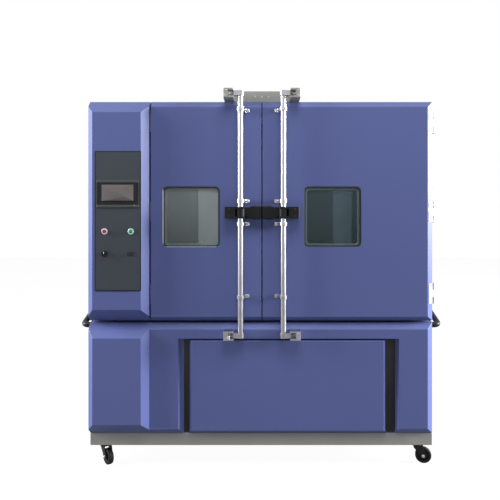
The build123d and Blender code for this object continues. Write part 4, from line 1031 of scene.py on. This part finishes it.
class CHAMBER_OT_stage(bpy.types.Operator):
    """Set up the floor, the lamps, the background and the camera"""

    bl_idname = "chamber.stage"
    bl_label = "Stage"

    def execute(self, context):
        scene = context.scene
        studio = scene.chamber_studio
        reach, white_share, white_level = 14.0, 0.82, 1.18
        corners = [(-reach, -reach, 0), (reach, -reach, 0), (reach, reach, 0), (-reach, reach, 0)]
        floor_mesh = bpy.data.meshes.new("floor")
        floor_mesh.from_pydata(corners, [], [(0, 1, 2, 3)])
        floor = link(bpy.data.objects.new("floor", floor_mesh))
        paint = Finish("pale_floor")
        shade = paint.blend(paint.noise(0.8, 3.0), (0.22, 0.22, 0.22), (0.25, 0.25, 0.25))
        plain = paint.add("ShaderNodeBsdfDiffuse", None, {"Color": shade})
        white = paint.add("ShaderNodeEmission", None, {"Color": (1.0, 1.0, 1.0), "Strength": white_level})
        seen = paint.add("ShaderNodeLightPath", output="Is Camera Ray")
        mixed = paint.add("ShaderNodeMixShader", None, {0: seen * white_share, 1: plain, 2: white})
        floor_mesh.materials.append(paint.end(mixed))

        sky = Finish("studio_room", "worlds")
        camera_ray = sky.add("ShaderNodeLightPath", output="Is Camera Ray")
        shown = camera_ray.maths("MAXIMUM", camera_ray, camera_ray.other("Is Glossy Ray"))
        shown = camera_ray.maths("MAXIMUM", shown, camera_ray.other("Is Transmission Ray"))
        even = {"Color": (0.96, 0.98, 1.0), "Strength": studio.room_light}
        room = sky.add("ShaderNodeBackground", None, even)
        backdrop = sky.add("ShaderNodeBackground", None, {"Color": (1.0, 1.0, 1.0)})
        scene.world = sky.end(sky.add("ShaderNodeMixShader", None, {0: shown, 1: room, 2: backdrop}))

        aim = Vector((0.0, 0.0, 1.0))
        for name, power, size, spot in (
            ("front_lamp", studio.front_power, 2.0, (0.3, -2.8, 4.6)),
            ("right_lamp", studio.right_power, 3.0, (9.0, -0.8, 3.0)),
            ("left_lamp", studio.left_power, 3.0, (-5.5, -0.95, 2.6)),
        ):
            lamp = bpy.data.lights.new(name, "AREA")
            lamp.energy = power
            lamp.size = size
            holder = link(bpy.data.objects.new(name, lamp))
            holder.location = spot
            holder.rotation_euler = (aim - Vector(spot)).to_track_quat("-Z", "Y").to_euler()

        camera = bpy.data.cameras.new("camera")
        camera.lens = 38.88
        camera.sensor_width = 36.0
        camera.shift_x = -0.024
        camera.shift_y = -0.0628
        camera.clip_end = 60.0
        holder = link(bpy.data.objects.new("camera", camera))
        holder.location = (0.004, -3.341, 1.243)
        holder.rotation_euler = (pi / 2, 0.0, 0.0)
        scene.camera = holder
        scene.view_settings.view_transform = "Standard"
        return {"FINISHED"}


class CHAMBER_PT_tools(bpy.types.Panel):
    """Buttons for the chamber's pieces"""

    bl_idname = "CHAMBER_PT_tools"
    bl_label = "Environmental Test Chamber"
    bl_space_type = "VIEW_3D"
    bl_region_type = "UI"
    bl_category = "Chamber"

    def draw(self, context):
        layout = self.layout
        for group in setting_groups:
            settings = getattr(context.scene, group)
            box = layout.box()
            for name in settings.__annotations__:
                box.prop(settings, name)
        for operator in operators:
            layout.operator(operator.bl_idname)


operators = (
    CHAMBER_OT_stage,
    CHAMBER_OT_panels,
    CHAMBER_OT_controls,
    CHAMBER_OT_locks,
    CHAMBER_OT_windows,
    CHAMBER_OT_hinges,
    CHAMBER_OT_grips,
    CHAMBER_OT_casters,
    CHAMBER_OT_fittings,
)
setting_groups = {
    "chamber_colours": ChamberColours,
    "chamber_sizes": ChamberSizes,
    "chamber_studio": ChamberStudio,
}


def register():
    for kind in (*setting_groups.values(), *operators, CHAMBER_PT_tools):
        bpy.utils.register_class(kind)
    for name, kind in setting_groups.items():
        setattr(bpy.types.Scene, name, bpy.props.PointerProperty(type=kind))


def unregister():
    for name in setting_groups:
        delattr(bpy.types.Scene, name)
    for kind in (CHAMBER_PT_tools, *reversed(operators), *setting_groups.values()):
        bpy.utils.unregister_class(kind)


def main():
    register()
    mix_finishes()
    spots_tree()
    for operator in operators:
        group, action = operator.bl_idname.split(".")
        getattr(getattr(bpy.ops, group), action)()


if __name__ == "__main__":
    main()
